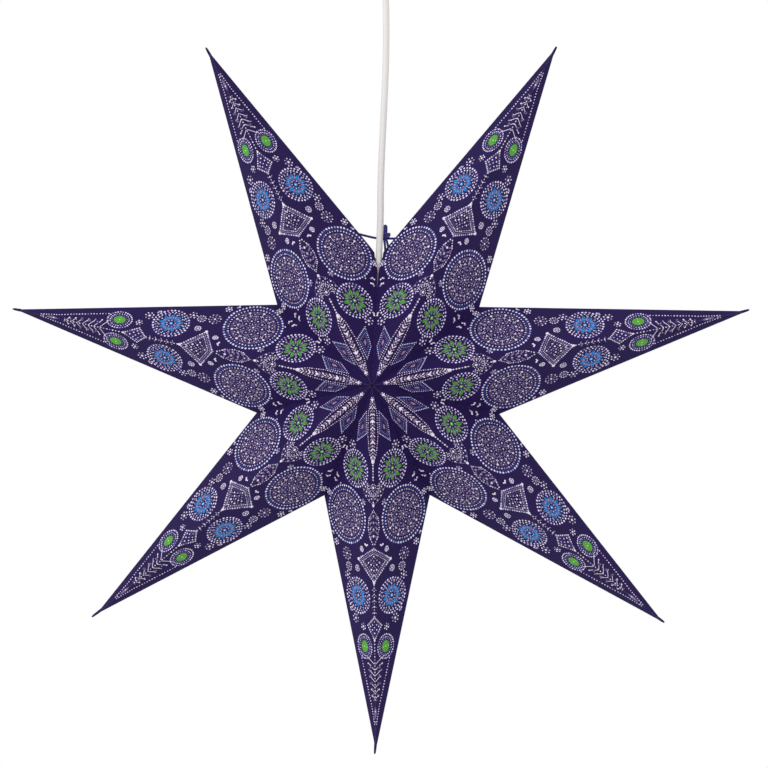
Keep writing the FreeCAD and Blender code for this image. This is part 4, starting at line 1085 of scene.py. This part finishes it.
def hermite_line(stations, spacing):
    """A smooth line through points that each have a direction, in millimetres from the star's middle."""
    points = []
    for (start, way), (end, end_way) in zip(stations, stations[1:]):
        reach = (end - start).length
        count = max(2, round(reach / spacing))
        a = way.normalized() * reach
        b = end_way.normalized() * reach
        for k in range(count):
            t = k / count
            points.append(start * (2 * t ** 3 - 3 * t ** 2 + 1) + a * (t ** 3 - 2 * t ** 2 + t)
                          + end * (3 * t ** 2 - 2 * t ** 3) + b * (t ** 3 - t ** 2))
    return points + [stations[-1][0]]


def string_piece(name, stations, knots=(), width=string_width):
    """A string along stations, as three twisted plies, thick where it has a knot. Knots are given as
    shares of its length."""
    line = even_points(hermite_line(stations, route_step), string_step)
    length = line_length(line)

    def section(ring, travelled):
        swell = 1.0
        for at in knots:
            off = abs(travelled - at * length)
            swell = max(swell, 1 + knot_swell * math.exp(-(off / knot_reach) ** 4))
        radii = []
        for k in range(string_corners):
            turn = math.tau * (k / string_corners - travelled / string_lay) * plies / 2
            radii.append(width / 2 * swell * (1 - groove_depth + groove_depth * abs(math.cos(turn)) ** 0.7))
        return radii

    verts, faces = sweep(line, section)
    places = [(v + Vector((0, 0, star_z))) * mm for v in verts]
    piece = add_piece(name, places, faces, [blue_cotton])
    # Painted shade for the grooves: an attribute that is 0 where the string is thinnest, between the plies,
    # and 1 on their crowns.
    groove_shade = piece.data.attributes.new("groove_shade", "FLOAT", "POINT")
    shade = []
    for ring in range(len(line)):
        radii = section(ring, length * ring / (len(line) - 1))
        widest = max(radii)
        shade += [max(0.0, (r / widest - (1 - groove_depth)) / groove_depth) for r in radii]
    groove_shade.data.foreach_set("value", shade)
    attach(piece, "star")
    return piece


up = Vector((0, 0, 1))
down = Vector((0, 0, -1))
back = Vector((0, 1, 0))
right_way = Vector((1, 0, 0))
right_hole, left_hole = [Vector((x, 0, z)) for _, _, (x, z) in holes]

# The wrap: two turns round the loop, clockwise seen from above, from the loop's right side down.
wrap_x = 4.8
wrap_y = 6.1
wrap_radius = 2.95
wrap_top = 122.4
wrap_turns = 2
wrap_pitch = 2.1
wrap_low = wrap_top - wrap_turns * wrap_pitch
wrap = []
for k in range(1, 4 * wrap_turns + 1):
    angle = (1 - k) * math.pi / 2
    out = Vector((math.cos(angle), math.sin(angle), 0))
    way = Vector((math.sin(angle), -math.cos(angle), -wrap_pitch / (math.tau * wrap_radius)))
    middle = Vector((wrap_x, wrap_y, wrap_top - k * wrap_pitch / 4))
    wrap.append((middle + out * wrap_radius, way))

# The way from hole to hole. The string leaves each hole backwards, bends, passes behind the cable,
# crosses over the back of the turns and rises to the first one.
behind = wrap_y + wrap_radius
hole_clearance = 1.7
bend_reach = 2.6
crossing = Vector((wrap_x - 1.5, behind + string_width, wrap_low - 0.3))
rise = Vector((wrap_x + 3.2, wrap_y + 3.1, wrap_top - 1.6))
arrive = crossing - (left_hole + right_way * bend_reach + back * behind)
leave = (right_hole - right_way * bend_reach + back * behind) - wrap[-1][0]
tie = [
    (left_hole + back * hole_clearance, back),
    (left_hole + back * (behind - bend_reach), back),
    (left_hole + right_way * bend_reach + back * behind, arrive),
    (crossing, arrive.normalized() + up * 0.2),
    (rise, Vector((0.55, -0.7, 0.6))),
    *wrap,
    (right_hole - right_way * bend_reach + back * behind, leave),
    (right_hole + back * (behind - bend_reach), -back),
    (right_hole + back * hole_clearance, -back),
]
tie_string = string_piece("twisted_tie_string", tie, (0.0, 1.0))
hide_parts("tie_string")

# The loop stands up out of the wrap, and its two cut ends hang below it.
loop_turn = math.radians(30)
loop_half = 1.05
loop_top = 127.5
leg = Vector((math.cos(loop_turn), math.sin(loop_turn), 0)) * loop_half
low = wrap_low - string_width / 2
high = wrap_top + string_width
stem = Vector((wrap_x, wrap_y, 0))
loop = [
    (stem - leg + Vector((1.0, 1.8, low - 13.5)), up),
    (stem - leg + up * low, up - right_way * 0.2),
    (stem - leg + up * high, up),
    (stem - leg + up * loop_top, up),
    (stem + up * (loop_top + leg.length), leg),
    (stem + leg + up * loop_top, down),
    (stem + leg + up * high, down),
    (stem + leg + up * low, down + right_way * 0.28),
    (stem + leg + Vector((2.2, 2.4, low - 11.5)), down + right_way * 0.1),
]
tie_loop = string_piece("twisted_tie_loop", loop)
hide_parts("tie_loop")

# Short ties hold the two flanges of the top seam together inside, with a knot at each end.
seam_top = notches[0][1]
tie_inset = 5.0
tie_half = 3.7
for side, node in ((-1, "seam_tie_front"), (1, "seam_tie_back")):
    inset = Vector((0, -side * seam_top, -half_depth)).normalized() * tie_inset
    middle = Vector((0, side * half_depth / 2, seam_top / 2)) + inset
    ends = [(middle - right_way * tie_half, right_way), (middle + right_way * tie_half, right_way)]
    seam_tie = string_piece("twisted_" + node, ends, (0.25, 0.75), seam_tie_width)
    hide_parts(node)
